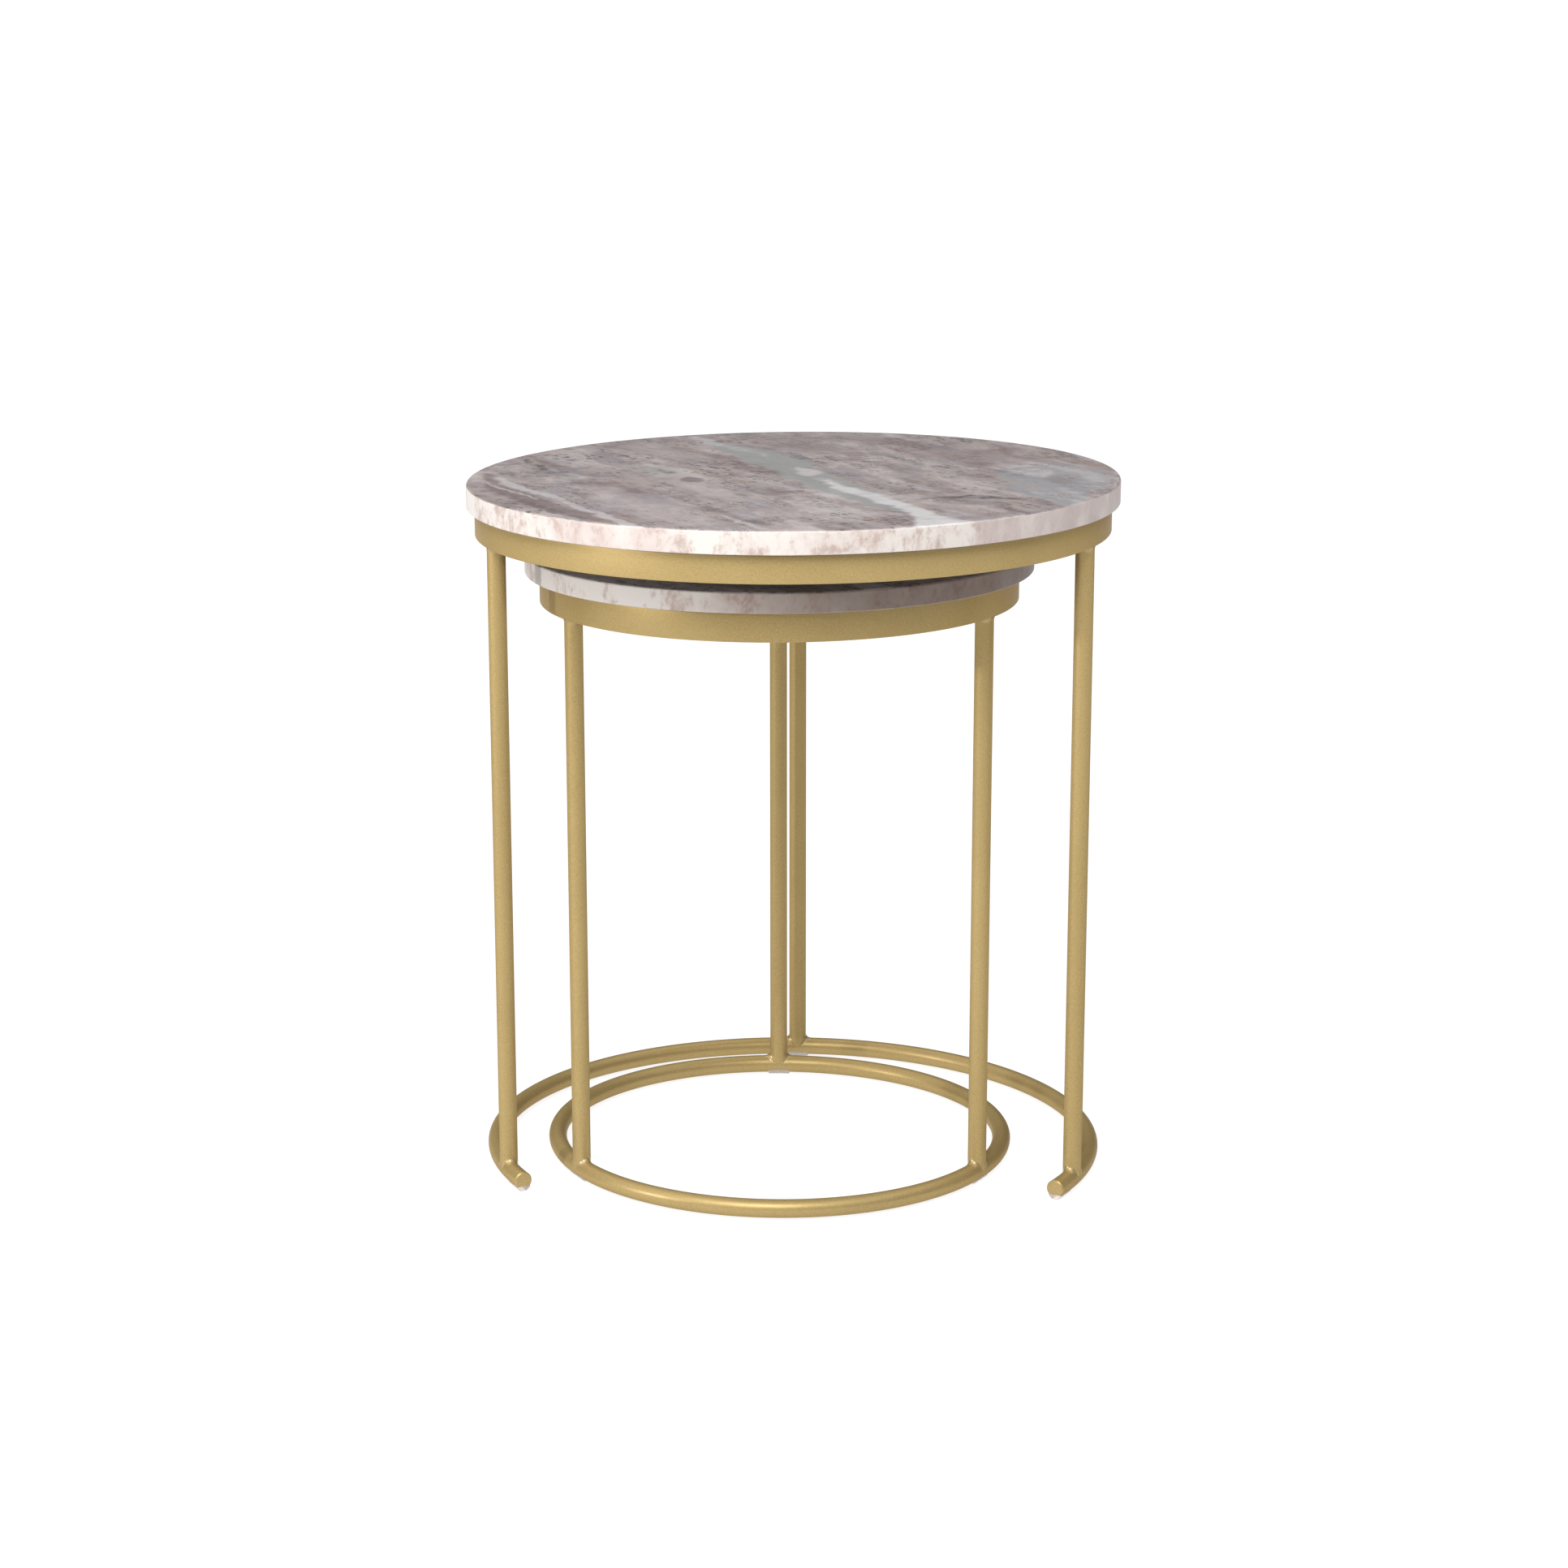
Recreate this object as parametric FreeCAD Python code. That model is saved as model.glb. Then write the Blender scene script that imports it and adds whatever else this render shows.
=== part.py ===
import FreeCAD, Part
import math
import os

# Two round nesting side tables: marble tops on round-bar steel frames.
# Millimetres, +Z up, the front faces -Y and left is -X. The origin is on the
# floor, under the middle of the large table's top.
# Every angle "round" a table is measured from straight ahead (-Y), positive
# towards the right (+X).

# Large table
LARGE_TOP_DIAMETER = 445.0
LARGE_HEIGHT = 482.0            # floor to the top of the marble
LARGE_MARBLE_THICKNESS = 15.5
LARGE_OVERHANG = 5.5            # marble beyond the apron's outer face
LARGE_APRON_HEIGHT = 18.5       # flat bar rolled on edge
LARGE_FRONT_LEG_ANGLE = 68.0    # wide apart, so the small table passes between

# Small table, sized by the room that the large one leaves for it
SMALL_MARBLE_THICKNESS = 14.0
SMALL_OVERHANG = 10.0
SMALL_APRON_HEIGHT = 20.0
SMALL_FRONT_LEG_ANGLE = 60.0
NEST_SIDE_CLEARANCE = 14.0      # small marble to each large front leg
NEST_TOP_CLEARANCE = 14.2       # small marble to the large apron above it
NEST_RING_CLEARANCE = 12.0      # small base ring to each end of the large one

# Where the small table stands under the large one
SMALL_SHIFT_LEFT = 9.0
SMALL_SHIFT_BACK = 7.0
SMALL_TURN = 1.5                # degrees about its own middle

# Marble edge
MARBLE_TOP_ROUND = 1.5
MARBLE_UNDER_ROUND = 0.6

# Frame stock
BAR_DIAMETER = 12.7             # legs and base rings
BAR_END_CHAMFER = 0.8
APRON_THICKNESS = 5.0
APRON_EDGE_ROUND = 0.5
LEG_TOP_SETBACK = 3.0           # coped top of a leg below the apron's top edge
LEG_MOUTH_DEPTH = 4.5           # how far a leg's mouth reaches down the base bar

# Weld beads
FOOT_WELD = 4.0
TOP_WELD = 3.0
TOP_WELD_SETBACK = 0.3          # ground back from the apron's outer face
TAB_WELD = 2.0
WELD_BITE = 0.15                # how far a bead starts inside what it joins
WELD_FULLNESS = 0.4             # middle of a bead's face, as a share of its reach; 0.5 is flat
FOOT_WELD_WIDTH = 0.9           # share of the bar's width that a foot bead covers
FOOT_WELD_SECTIONS = 7

# Tabs that carry the marble
TAB_THICKNESS = 3.0
TAB_WIDTH = 20.0
TAB_REACH = 24.0                # inwards from the apron
TAB_CORNER = 6.0
TAB_HOLE_FROM_TIP = 10.0
TAB_HOLE_CLEARANCE = 0.5        # round the screw

# Screws, washers, soft rings and the inserts in the marble
SCREW_DIAMETER = 5.0
SCREW_HEAD_DIAMETER = 9.5
SCREW_HEAD_HEIGHT = 2.8
SCREW_HEAD_ROUND = 1.6
SCREW_SOCKET = 3.0              # across the flats of the hex socket
SCREW_SOCKET_DEPTH = 1.6
SCREW_TIP_GAP = 1.0             # screw's tip to the insert's far end
WASHER_DIAMETER = 11.0
WASHER_THICKNESS = 1.0
WASHER_CLEARANCE = 0.2
SOFT_RING_DIAMETER = 15.0
SOFT_RING_THICKNESS = 0.8       # it holds the marble this far off the apron
SOFT_RING_CLEARANCE = 0.8
INSERT_DIAMETER = 8.0
INSERT_LENGTH = 8.0
INSERT_THREAD_CLEARANCE = 0.1
INSERT_GLUE_GAP = 0.15
INSERT_HOLE_SPARE = 1.0         # depth of the hole past the insert

# Clear glides let into the underside of the base rings
GLIDE_STAND = 1.0               # the bar's height off the floor
GLIDE_SINK = 2.4                # depth of the flat milled in the bar
GLIDE_LENGTH = 16.0
GLIDE_FOOT_WIDTH = 4.0
CUTTER_SPARE = 2.0              # how far a cutting shape overshoots
SAME_PLACE = 0.01               # two coordinates closer than this are one

BAR_RADIUS = BAR_DIAMETER / 2
RING_Z = GLIDE_STAND + BAR_RADIUS
AXIS = FreeCAD.Vector(0, 0, 1)
ORIGIN = FreeCAD.Vector(0, 0, 0)
STRAIGHT_BACK = 180.0


def point(x, y, z):
    return FreeCAD.Vector(x, y, z)


def turned(shape, angle):
    """A shape built along +X, turned to an angle round the table."""
    return shape.rotated(ORIGIN, AXIS, angle - 90)


def cylinder(radius, low, high, x=0.0):
    return Part.makeCylinder(radius, high - low, point(x, 0, low))


def tube(outer, inner, low, high, x=0.0):
    return cylinder(outer, low, high, x).cut(cylinder(inner, low, high, x))


def outline(*edges):
    return Part.Face(Part.Wire(edges))


def polygon(*corners):
    return Part.makePolygon(list(corners) + [corners[0]])


def arc(start, middle, end):
    return Part.Arc(start, middle, end).toShape()


def vertical_edges(shape, x):
    """The upright edges of a shape that stand at one x."""
    found = []
    for edge in shape.Edges:
        box = edge.BoundBox
        upright = box.XLength < SAME_PLACE and box.YLength < SAME_PLACE
        if upright and abs(box.XMin - x) < SAME_PLACE:
            found.append(edge)
    return found


class Table:
    """The sizes that one table's pieces share."""

    def __init__(self, name, top_radius, height, marble_thickness, overhang, apron_height,
                 front_leg_angle):
        self.name = name
        self.top_radius = top_radius
        self.height = height
        self.marble_under = height - marble_thickness
        self.apron_top = self.marble_under - SOFT_RING_THICKNESS
        self.apron_bottom = self.apron_top - apron_height
        self.apron_outer = top_radius - overhang
        self.apron_inner = self.apron_outer - APRON_THICKNESS
        self.bar_circle = self.apron_outer - BAR_RADIUS
        self.front_leg_angle = front_leg_angle
        self.leg_angles = {
            "left": -front_leg_angle,
            "right": front_leg_angle,
            "back": STRAIGHT_BACK,
        }
        side_tab = (front_leg_angle + STRAIGHT_BACK) / 2
        self.tab_angles = {"front": 0.0, "left": -side_tab, "right": side_tab}
        self.tab_under = self.apron_top - TAB_THICKNESS
        self.screw_circle = self.apron_inner - TAB_REACH + TAB_HOLE_FROM_TIP
        self.opening_angle = 0.0
        self.glide_angles = dict(self.leg_angles)

    def open_front(self, half_width):
        """Open the base ring at the front, to a clear half width between its ends."""
        self.opening_angle = math.degrees(math.asin(half_width / (self.bar_circle - BAR_RADIUS)))
        beside_end = self.opening_angle + self.arc_degrees(GLIDE_LENGTH) / 2
        self.glide_angles["left"] = -beside_end
        self.glide_angles["right"] = beside_end

    def arc_degrees(self, length):
        """The angle that a length takes along the base ring."""
        return math.degrees(length / self.bar_circle)

    def at_screws(self, shape):
        """One copy of a shape built on +X at each fixing screw, as a group."""
        return Part.makeCompound([turned(shape, angle) for angle in self.tab_angles.values()])

    def at_legs(self, shape):
        return Part.makeCompound([turned(shape, angle) for angle in self.leg_angles.values()])


def large_table():
    return Table("large", LARGE_TOP_DIAMETER / 2, LARGE_HEIGHT, LARGE_MARBLE_THICKNESS,
                 LARGE_OVERHANG, LARGE_APRON_HEIGHT, LARGE_FRONT_LEG_ANGLE)


def small_table(large):
    """The table that passes between the large one's front legs and under its apron."""
    leg_side = large.bar_circle * math.sin(math.radians(large.front_leg_angle)) - BAR_RADIUS
    return Table("small", leg_side - NEST_SIDE_CLEARANCE, large.apron_bottom - NEST_TOP_CLEARANCE,
                 SMALL_MARBLE_THICKNESS, SMALL_OVERHANG, SMALL_APRON_HEIGHT, SMALL_FRONT_LEG_ANGLE)


def marble_top(table):
    """Polished disc with eased edges and three blind holes underneath."""
    disc = cylinder(table.top_radius, table.marble_under, table.height)
    rims = [edge for edge in disc.Edges if len(edge.Vertexes) == 1]
    upper = [edge for edge in rims if edge.Vertexes[0].Z > table.marble_under + MARBLE_TOP_ROUND]
    disc = disc.makeFillet(MARBLE_TOP_ROUND, upper)
    lower = [edge for edge in disc.Edges if edge.BoundBox.ZMax < table.marble_under + MARBLE_UNDER_ROUND]
    disc = disc.makeFillet(MARBLE_UNDER_ROUND, lower)
    hole_depth = INSERT_LENGTH + INSERT_HOLE_SPARE
    hole = cylinder(INSERT_DIAMETER / 2 + INSERT_GLUE_GAP, table.marble_under - CUTTER_SPARE,
                    table.marble_under + hole_depth, table.screw_circle)
    return disc.cut(table.at_screws(hole))


def threaded_inserts(table):
    bore = SCREW_DIAMETER / 2 + INSERT_THREAD_CLEARANCE
    insert = tube(INSERT_DIAMETER / 2, bore, table.marble_under,
                  table.marble_under + INSERT_LENGTH, table.screw_circle)
    return table.at_screws(insert)


def soft_rings(table):
    """Clear soft rings between the tabs and the marble."""
    bore = SCREW_DIAMETER / 2 + SOFT_RING_CLEARANCE
    ring = tube(SOFT_RING_DIAMETER / 2, bore, table.apron_top, table.marble_under, table.screw_circle)
    return table.at_screws(ring)


def washers(table):
    bore = SCREW_DIAMETER / 2 + WASHER_CLEARANCE
    washer = tube(WASHER_DIAMETER / 2, bore, table.tab_under - WASHER_THICKNESS,
                  table.tab_under, table.screw_circle)
    return table.at_screws(washer)


def hex_socket(across_flats, low, high, x):
    corner_radius = across_flats / math.sqrt(3)
    corners = []
    for side in range(6):
        around = math.radians(60 * side)
        corners.append(point(x + corner_radius * math.cos(around), corner_radius * math.sin(around), low))
    return Part.Face(polygon(*corners)).extrude(point(0, 0, high - low))


def screws(table):
    """Button-head screws driven upwards through the tabs."""
    seat = table.tab_under - WASHER_THICKNESS
    under_head = seat - SCREW_HEAD_HEIGHT
    head = cylinder(SCREW_HEAD_DIAMETER / 2, under_head, seat, table.screw_circle)
    crown = [edge for edge in head.Edges if edge.BoundBox.ZMax < under_head + SCREW_HEAD_ROUND]
    head = head.makeFillet(SCREW_HEAD_ROUND, crown)
    socket = hex_socket(SCREW_SOCKET, under_head - CUTTER_SPARE,
                        under_head + SCREW_SOCKET_DEPTH, table.screw_circle)
    tip = table.marble_under + INSERT_LENGTH - SCREW_TIP_GAP
    shank = cylinder(SCREW_DIAMETER / 2, seat, tip, table.screw_circle)
    return table.at_screws(head.cut(socket).fuse(shank))


def mounting_tab(table):
    """Flat tab welded inside the apron, level with its top edge."""
    tip = table.apron_inner - TAB_REACH
    plate = Part.makeBox(TAB_REACH + CUTTER_SPARE, TAB_WIDTH, TAB_THICKNESS,
                         point(tip, -TAB_WIDTH / 2, table.tab_under))
    plate = plate.makeFillet(TAB_CORNER, vertical_edges(plate, tip))
    plate = plate.common(cylinder(table.apron_inner, table.tab_under, table.apron_top))
    hole = cylinder(SCREW_DIAMETER / 2 + TAB_HOLE_CLEARANCE, table.tab_under - CUTTER_SPARE,
                    table.apron_top + CUTTER_SPARE, table.screw_circle)
    return plate.cut(hole)


def tab_welds(table):
    """A bead under each tab, where it meets the apron's inner face."""
    half_width = math.degrees(math.asin(TAB_WIDTH / 2 / table.apron_inner))
    section = Part.Face(polygon(
        point(table.apron_inner, 0, table.tab_under),
        point(table.apron_inner, 0, table.tab_under - TAB_WELD),
        point(table.apron_inner - TAB_WELD, 0, table.tab_under)))
    bead = section.revolve(ORIGIN, AXIS, 2 * half_width).rotated(ORIGIN, AXIS, -half_width)
    return table.at_screws(bead)


def seam_away(shape):
    """The same ring with its seam on -X, clear of what is built on +X."""
    return shape.rotated(ORIGIN, AXIS, STRAIGHT_BACK)


def apron_blank(table):
    return seam_away(tube(table.apron_outer, table.apron_inner, table.apron_bottom, table.apron_top))


def apron_ring(table):
    """Flat bar rolled on edge into a closed ring, its edges eased."""
    ring = apron_blank(table)
    rims = [edge for edge in ring.Edges if len(edge.Vertexes) == 1]
    return ring.makeFillet(APRON_EDGE_ROUND, rims)


def full_base_circle(table):
    return seam_away(Part.makeTorus(table.bar_circle, BAR_RADIUS, point(0, 0, RING_Z)))


def along_ring(table, section, length, angle):
    """A section in the XZ plane swept along the base ring, centred on an angle."""
    sweep = table.arc_degrees(length)
    return turned(section.revolve(ORIGIN, AXIS, sweep), angle - sweep / 2)


def base_ring(table):
    """Round bar bent to a circle, closed or open at the front, with flats for the glides."""
    if table.opening_angle:
        centre = point(table.bar_circle, 0, RING_Z)
        section = outline(Part.makeCircle(BAR_RADIUS, centre, point(0, 1, 0)))
        bar = section.revolve(ORIGIN, AXIS, 360 - 2 * table.opening_angle)
        bar = turned(bar, table.opening_angle)
        ends = [face for face in bar.Faces if isinstance(face.Surface, Part.Plane)]
        bar = bar.makeChamfer(BAR_END_CHAMFER, [edge for face in ends for edge in face.Edges])
    else:
        bar = full_base_circle(table)
    half = BAR_RADIUS + CUTTER_SPARE
    flat = Part.Face(polygon(
        point(table.bar_circle - half, 0, -CUTTER_SPARE),
        point(table.bar_circle + half, 0, -CUTTER_SPARE),
        point(table.bar_circle + half, 0, GLIDE_STAND + GLIDE_SINK),
        point(table.bar_circle - half, 0, GLIDE_STAND + GLIDE_SINK)))
    for angle in table.glide_angles.values():
        bar = bar.cut(along_ring(table, flat, GLIDE_LENGTH, angle))
    return bar


def glide(table, angle):
    """Clear pad that fills the flat and carries the ring just off the floor."""
    flat_z = GLIDE_STAND + GLIDE_SINK
    flat_half = math.sqrt(BAR_RADIUS ** 2 - (RING_Z - flat_z) ** 2)
    foot_half = GLIDE_FOOT_WIDTH / 2
    mid_half = (flat_half + foot_half) / 2
    bulge_z = RING_Z - math.sqrt((BAR_RADIUS + GLIDE_STAND / 2) ** 2 - mid_half ** 2)
    middle = table.bar_circle
    flat_out = point(middle + flat_half, 0, flat_z)
    flat_in = point(middle - flat_half, 0, flat_z)
    foot_out = point(middle + foot_half, 0, 0)
    foot_in = point(middle - foot_half, 0, 0)
    section = outline(
        Part.makeLine(flat_in, flat_out),
        arc(flat_out, point(middle + mid_half, 0, bulge_z), foot_out),
        Part.makeLine(foot_out, foot_in),
        arc(foot_in, point(middle - mid_half, 0, bulge_z), flat_in))
    return along_ring(table, section, GLIDE_LENGTH, angle)


def leg(table):
    """Upright bar with its mouth on the base ring and its coped top round the apron."""
    mouth = RING_Z + BAR_RADIUS - LEG_MOUTH_DEPTH
    bar = cylinder(BAR_RADIUS, mouth, table.apron_top - LEG_TOP_SETBACK, table.bar_circle)
    return bar.cut(full_base_circle(table)).cut(apron_blank(table))


def foot_bead(table):
    """Hollow bead in the corner between a leg and the base ring, on one side of the leg."""
    sections = []
    for step in range(FOOT_WELD_SECTIONS):
        across = FOOT_WELD_WIDTH * (2 * step / (FOOT_WELD_SECTIONS - 1) - 1)
        x = table.bar_circle + across * BAR_RADIUS
        corner = BAR_RADIUS * math.sqrt(1 - across ** 2)
        reach = FOOT_WELD * (1 - abs(across) ** 3)
        hollow = corner + reach * WELD_FULLNESS
        up_leg = point(x, corner - WELD_BITE, RING_Z + corner + reach)
        along_bar = point(x, corner + reach, RING_Z + corner - WELD_BITE)
        inside = point(x, corner - 2 * WELD_BITE, RING_Z + corner - 2 * WELD_BITE)
        sections.append(Part.Wire([
            arc(up_leg, point(x, hollow, RING_Z + hollow), along_bar),
            Part.makeLine(along_bar, inside),
            Part.makeLine(inside, up_leg)]))
    return Part.makeLoft(sections, True)


def leg_foot_welds(table):
    bead = foot_bead(table)
    leg_axis = point(table.bar_circle, 0, 0)
    upright = cylinder(BAR_RADIUS, 0, table.apron_bottom, table.bar_circle)
    ring = full_base_circle(table)
    beads = []
    for side in (0, 180):
        beads.append(bead.rotated(leg_axis, AXIS, side).cut(upright).cut(ring))
    return table.at_legs(Part.makeCompound(beads))


def leg_top_welds(table):
    """Hollow bead round each leg where it butts against the apron's lower edge."""
    low = table.apron_bottom - TOP_WELD
    wide = BAR_RADIUS + TOP_WELD
    hollow = TOP_WELD * WELD_FULLNESS
    inside = BAR_RADIUS - WELD_BITE
    section = outline(
        Part.makeLine(point(inside, 0, table.apron_bottom), point(wide, 0, table.apron_bottom)),
        arc(point(wide, 0, table.apron_bottom),
            point(BAR_RADIUS + hollow, 0, table.apron_bottom - hollow),
            point(BAR_RADIUS, 0, low)),
        Part.makeLine(point(BAR_RADIUS, 0, low), point(inside, 0, low)),
        Part.makeLine(point(inside, 0, low), point(inside, 0, table.apron_bottom)))
    flare = section.revolve(ORIGIN, AXIS, 360).translated(point(table.bar_circle, 0, 0))
    under_apron = tube(table.apron_outer - TOP_WELD_SETBACK, table.apron_inner, low, table.apron_bottom)
    upright = cylinder(BAR_RADIUS, low - CUTTER_SPARE, table.apron_bottom, table.bar_circle)
    return table.at_legs(flare.common(under_apron).cut(upright))


def table_nodes(table):
    """Every piece of one table, standing with its middle over the origin."""
    nodes = {
        "marble_top": marble_top(table),
        "threaded_inserts": threaded_inserts(table),
        "soft_rings": soft_rings(table),
        "washers": washers(table),
        "screws": screws(table),
        "tab_welds": tab_welds(table),
        "apron_ring": apron_ring(table),
        "base_ring": base_ring(table),
        "leg_foot_welds": leg_foot_welds(table),
        "leg_top_welds": leg_top_welds(table),
    }
    for side, angle in table.tab_angles.items():
        nodes["tab_" + side] = turned(mounting_tab(table), angle)
    for side, angle in table.leg_angles.items():
        nodes["leg_" + side] = turned(leg(table), angle)
    for side, angle in table.glide_angles.items():
        nodes["glide_" + side] = glide(table, angle)
    return {table.name + "_" + piece: shape for piece, shape in nodes.items()}


def nesting_tables():
    large = large_table()
    small = small_table(large)
    large.open_front(small.apron_outer + NEST_RING_CLEARANCE)
    nodes = table_nodes(large)
    standing = point(-SMALL_SHIFT_LEFT, SMALL_SHIFT_BACK, 0)
    for name, shape in table_nodes(small).items():
        nodes[name] = shape.rotated(ORIGIN, AXIS, SMALL_TURN).translated(standing)
    return nodes


def main():
    os.makedirs("parts", exist_ok=True)
    for name, shape in sorted(nesting_tables().items()):
        shape.exportStep("parts/" + name + ".step")
        print(f"{name}: {len(shape.Solids)} solids, {shape.Volume / 1000:.2f} cm3, valid {shape.isValid()}")


main()
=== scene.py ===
import math
import random

import bmesh
import bpy
from mathutils import Matrix, Vector


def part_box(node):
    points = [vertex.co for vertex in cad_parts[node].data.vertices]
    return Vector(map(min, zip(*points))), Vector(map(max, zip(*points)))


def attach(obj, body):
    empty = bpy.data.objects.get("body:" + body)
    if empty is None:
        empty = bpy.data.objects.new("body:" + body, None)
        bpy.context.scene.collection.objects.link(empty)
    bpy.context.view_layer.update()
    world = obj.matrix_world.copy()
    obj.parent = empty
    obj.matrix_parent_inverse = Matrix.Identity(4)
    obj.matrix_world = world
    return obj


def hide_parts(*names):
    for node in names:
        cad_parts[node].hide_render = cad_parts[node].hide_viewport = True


# Looks of two nesting side tables: polished marble tops with honed edges, on
# round-bar frames in gold powder coat. Metres; the front faces -Y, the floor is z = 0.

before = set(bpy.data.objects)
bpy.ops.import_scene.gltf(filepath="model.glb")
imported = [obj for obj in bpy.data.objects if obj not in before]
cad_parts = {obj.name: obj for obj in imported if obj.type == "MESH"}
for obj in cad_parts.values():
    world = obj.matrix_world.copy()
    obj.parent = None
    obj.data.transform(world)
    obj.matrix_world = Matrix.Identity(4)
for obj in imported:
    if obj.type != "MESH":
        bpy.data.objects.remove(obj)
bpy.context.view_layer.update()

MM = 0.001
ROUND_STEPS = 256           # segments round a frame
SLAB_STEPS = 384            # segments round a marble top
BAR_STEPS = 48              # segments round a bar, and round a screw or a washer
BEAD_STEPS = 24             # sections along a long weld bead
SLEEVE_STEPS, HOLE_STEPS = 40, 32
SHARP = math.radians(35)    # edges keener than this stay crisp
DOUBLE = 1e-6               # points nearer than this are one point
WOBBLE_SEED, LOOSE_SEED, UNEVEN_SEED = 11, 5, 3 * 1.7

# Stone
TOP_EDGE_ROUND = 1.5 * MM
UNDER_EDGE_ROUND = 0.6 * MM
HOLE_RADIUS = 4.15 * MM
HOLE_DEPTH = 9 * MM
FACE_RINGS = (0.95, 0.7, 0.35, 0.0)     # shares of the radius that divide a flat face

# Frames
APRON_THICKNESS = 5 * MM
APRON_EDGE_ROUND = 0.5 * MM
LEG_TOP_SETBACK = 3 * MM
LEG_TOP_ROUND = 0.5 * MM
LEG_SECTIONS = (0, 0.02, 0.25, 0.5, 0.75, 1.0)      # shares of the shaft's height
BAR_END_CHAMFER = 0.8 * MM
GLIDE_LENGTH = 16 * MM
GLIDE_FLAT = 3.4 * MM       # height of the flat that a glide fills
GLIDE_FOOT_HALF = 2 * MM
GLIDE_END_ROUND = 0.35 * MM
TAB_EDGE_ROUND = 0.3 * MM
FOOT_WELD = 4.2 * MM
FOOT_WELD_SPAN = 0.96       # share of the bar's width that the bead runs over
FOOT_WELD_UNEVEN = -0.025, 0.025
TOP_WELD = 3.2 * MM
TOP_WELD_INSET = 0.1 * MM, 0.35 * MM    # how far it stays inside the apron's two faces
TOP_WELD_UNEVEN = -0.03, 0.03
TAB_WELD = 1.7 * MM
TAB_WELD_HALF = 9.2 * MM
TAB_WELD_RIPPLE = 1.3 * MM
TAB_WELD_CORNER = 0.25 * MM
WELD_BITE = 0.15 * MM

# Hardware
SCREW_RADIUS = 2.5 * MM
SCREW_HEAD_RADIUS = 4.75 * MM
SCREW_HEAD_HEIGHT = 2.8 * MM
SCREW_SOCKET_RADIUS = 1.75 * MM
SCREW_SOCKET_DEPTH = 1.6 * MM
SCREW_REACH = 7 * MM        # how far it goes up into the stone
THREAD_PITCH = 0.8 * MM
THREAD_ROOT = 0.86          # share of the screw's radius
WASHER_RADIUS, WASHER_BORE, WASHER_ROUND = 5.5 * MM, 2.7 * MM, 0.15 * MM
SOFT_RADIUS, SOFT_BORE, SOFT_ROUND = 7.5 * MM, 3.3 * MM, 0.2 * MM
SLEEVE_RADIUS, SLEEVE_BORE, SLEEVE_LENGTH = 4.0 * MM, 2.65 * MM, 8 * MM
SLEEVE_END_ROUND = 0.2 * MM
GROOVES, GROOVE_PITCH, GROOVE_START, GROOVE_DEPTH = 4, 1.7 * MM, 1.2 * MM, 0.3 * MM


# ---------- node trees

def sum_of(operation, swapped=False):
    """An operator of Wire that adds one Math node."""
    def work_out(wire, other):
        return wire.maths(operation, other, wire) if swapped else wire.maths(operation, wire, other)
    return work_out


class Wire:
    """A number, colour or vector on its way between nodes; sums on it add Math nodes."""

    def __init__(self, tree, socket):
        self.tree = tree
        self.socket = socket

    def maths(self, operation, *values, limit=False):
        """One Math node on the values given; with a limit, kept between 0 and 1."""
        settings = {"operation": operation, "use_clamp": limit}
        return self.tree.node("ShaderNodeMath", settings, dict(enumerate(values)))

    __add__, __radd__ = sum_of("ADD"), sum_of("ADD")
    __sub__, __rsub__ = sum_of("SUBTRACT"), sum_of("SUBTRACT", swapped=True)
    __mul__, __rmul__ = sum_of("MULTIPLY"), sum_of("MULTIPLY")
    __truediv__ = sum_of("DIVIDE")

    def __abs__(self):
        return self.maths("ABSOLUTE", self)

    def least(self, other):
        return self.maths("MINIMUM", self, other)

    def limited(self):
        return self.maths("ADD", self, 0.0, limit=True)

    def ramp(self, low, high):
        """0 below low, 1 above high, eased between; low may be above high."""
        if low > high:
            return 1.0 - self.ramp(high, low)
        sockets = {"Value": self, "From Min": low, "From Max": high}
        return self.tree.node("ShaderNodeMapRange", {"interpolation_type": "SMOOTHSTEP"}, sockets)


class Tree:
    """Adds nodes to one shader or geometry tree."""

    def __init__(self, tree):
        self.tree = tree

    def node(self, kind, settings=None, sockets=None, take=0):
        """Adds any node, fills its settings and sockets, and returns one of its outputs."""
        made = self.tree.nodes.new(kind)
        for name, value in (settings or {}).items():
            if name == "stops":
                self.set_stops(made.color_ramp, value)
            else:
                setattr(made, name, value)
        for key, value in (sockets or {}).items():
            self.feed(made.inputs[key], value)
        return Wire(self, made.outputs[take]) if made.outputs else None

    def feed(self, socket, value):
        """Links a wire into a socket, or sets the socket to a plain value."""
        if isinstance(value, Wire):
            self.tree.links.new(value.socket, socket)
        else:
            socket.default_value = value

    @staticmethod
    def set_stops(ramp, stops):
        while len(ramp.elements) < len(stops):
            ramp.elements.new(1.0)
        for element, (place, colour) in zip(ramp.elements, stops):
            element.position = place
            element.color = colour


def linear(red, green, blue):
    """A paint-chart colour, 0 to 255, as the shader's linear light."""
    def one(value):
        share = value / 255
        return share / 12.92 if share <= 0.04045 else ((share + 0.055) / 1.055) ** 2.4
    return (one(red), one(green), one(blue), 1.0)


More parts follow.
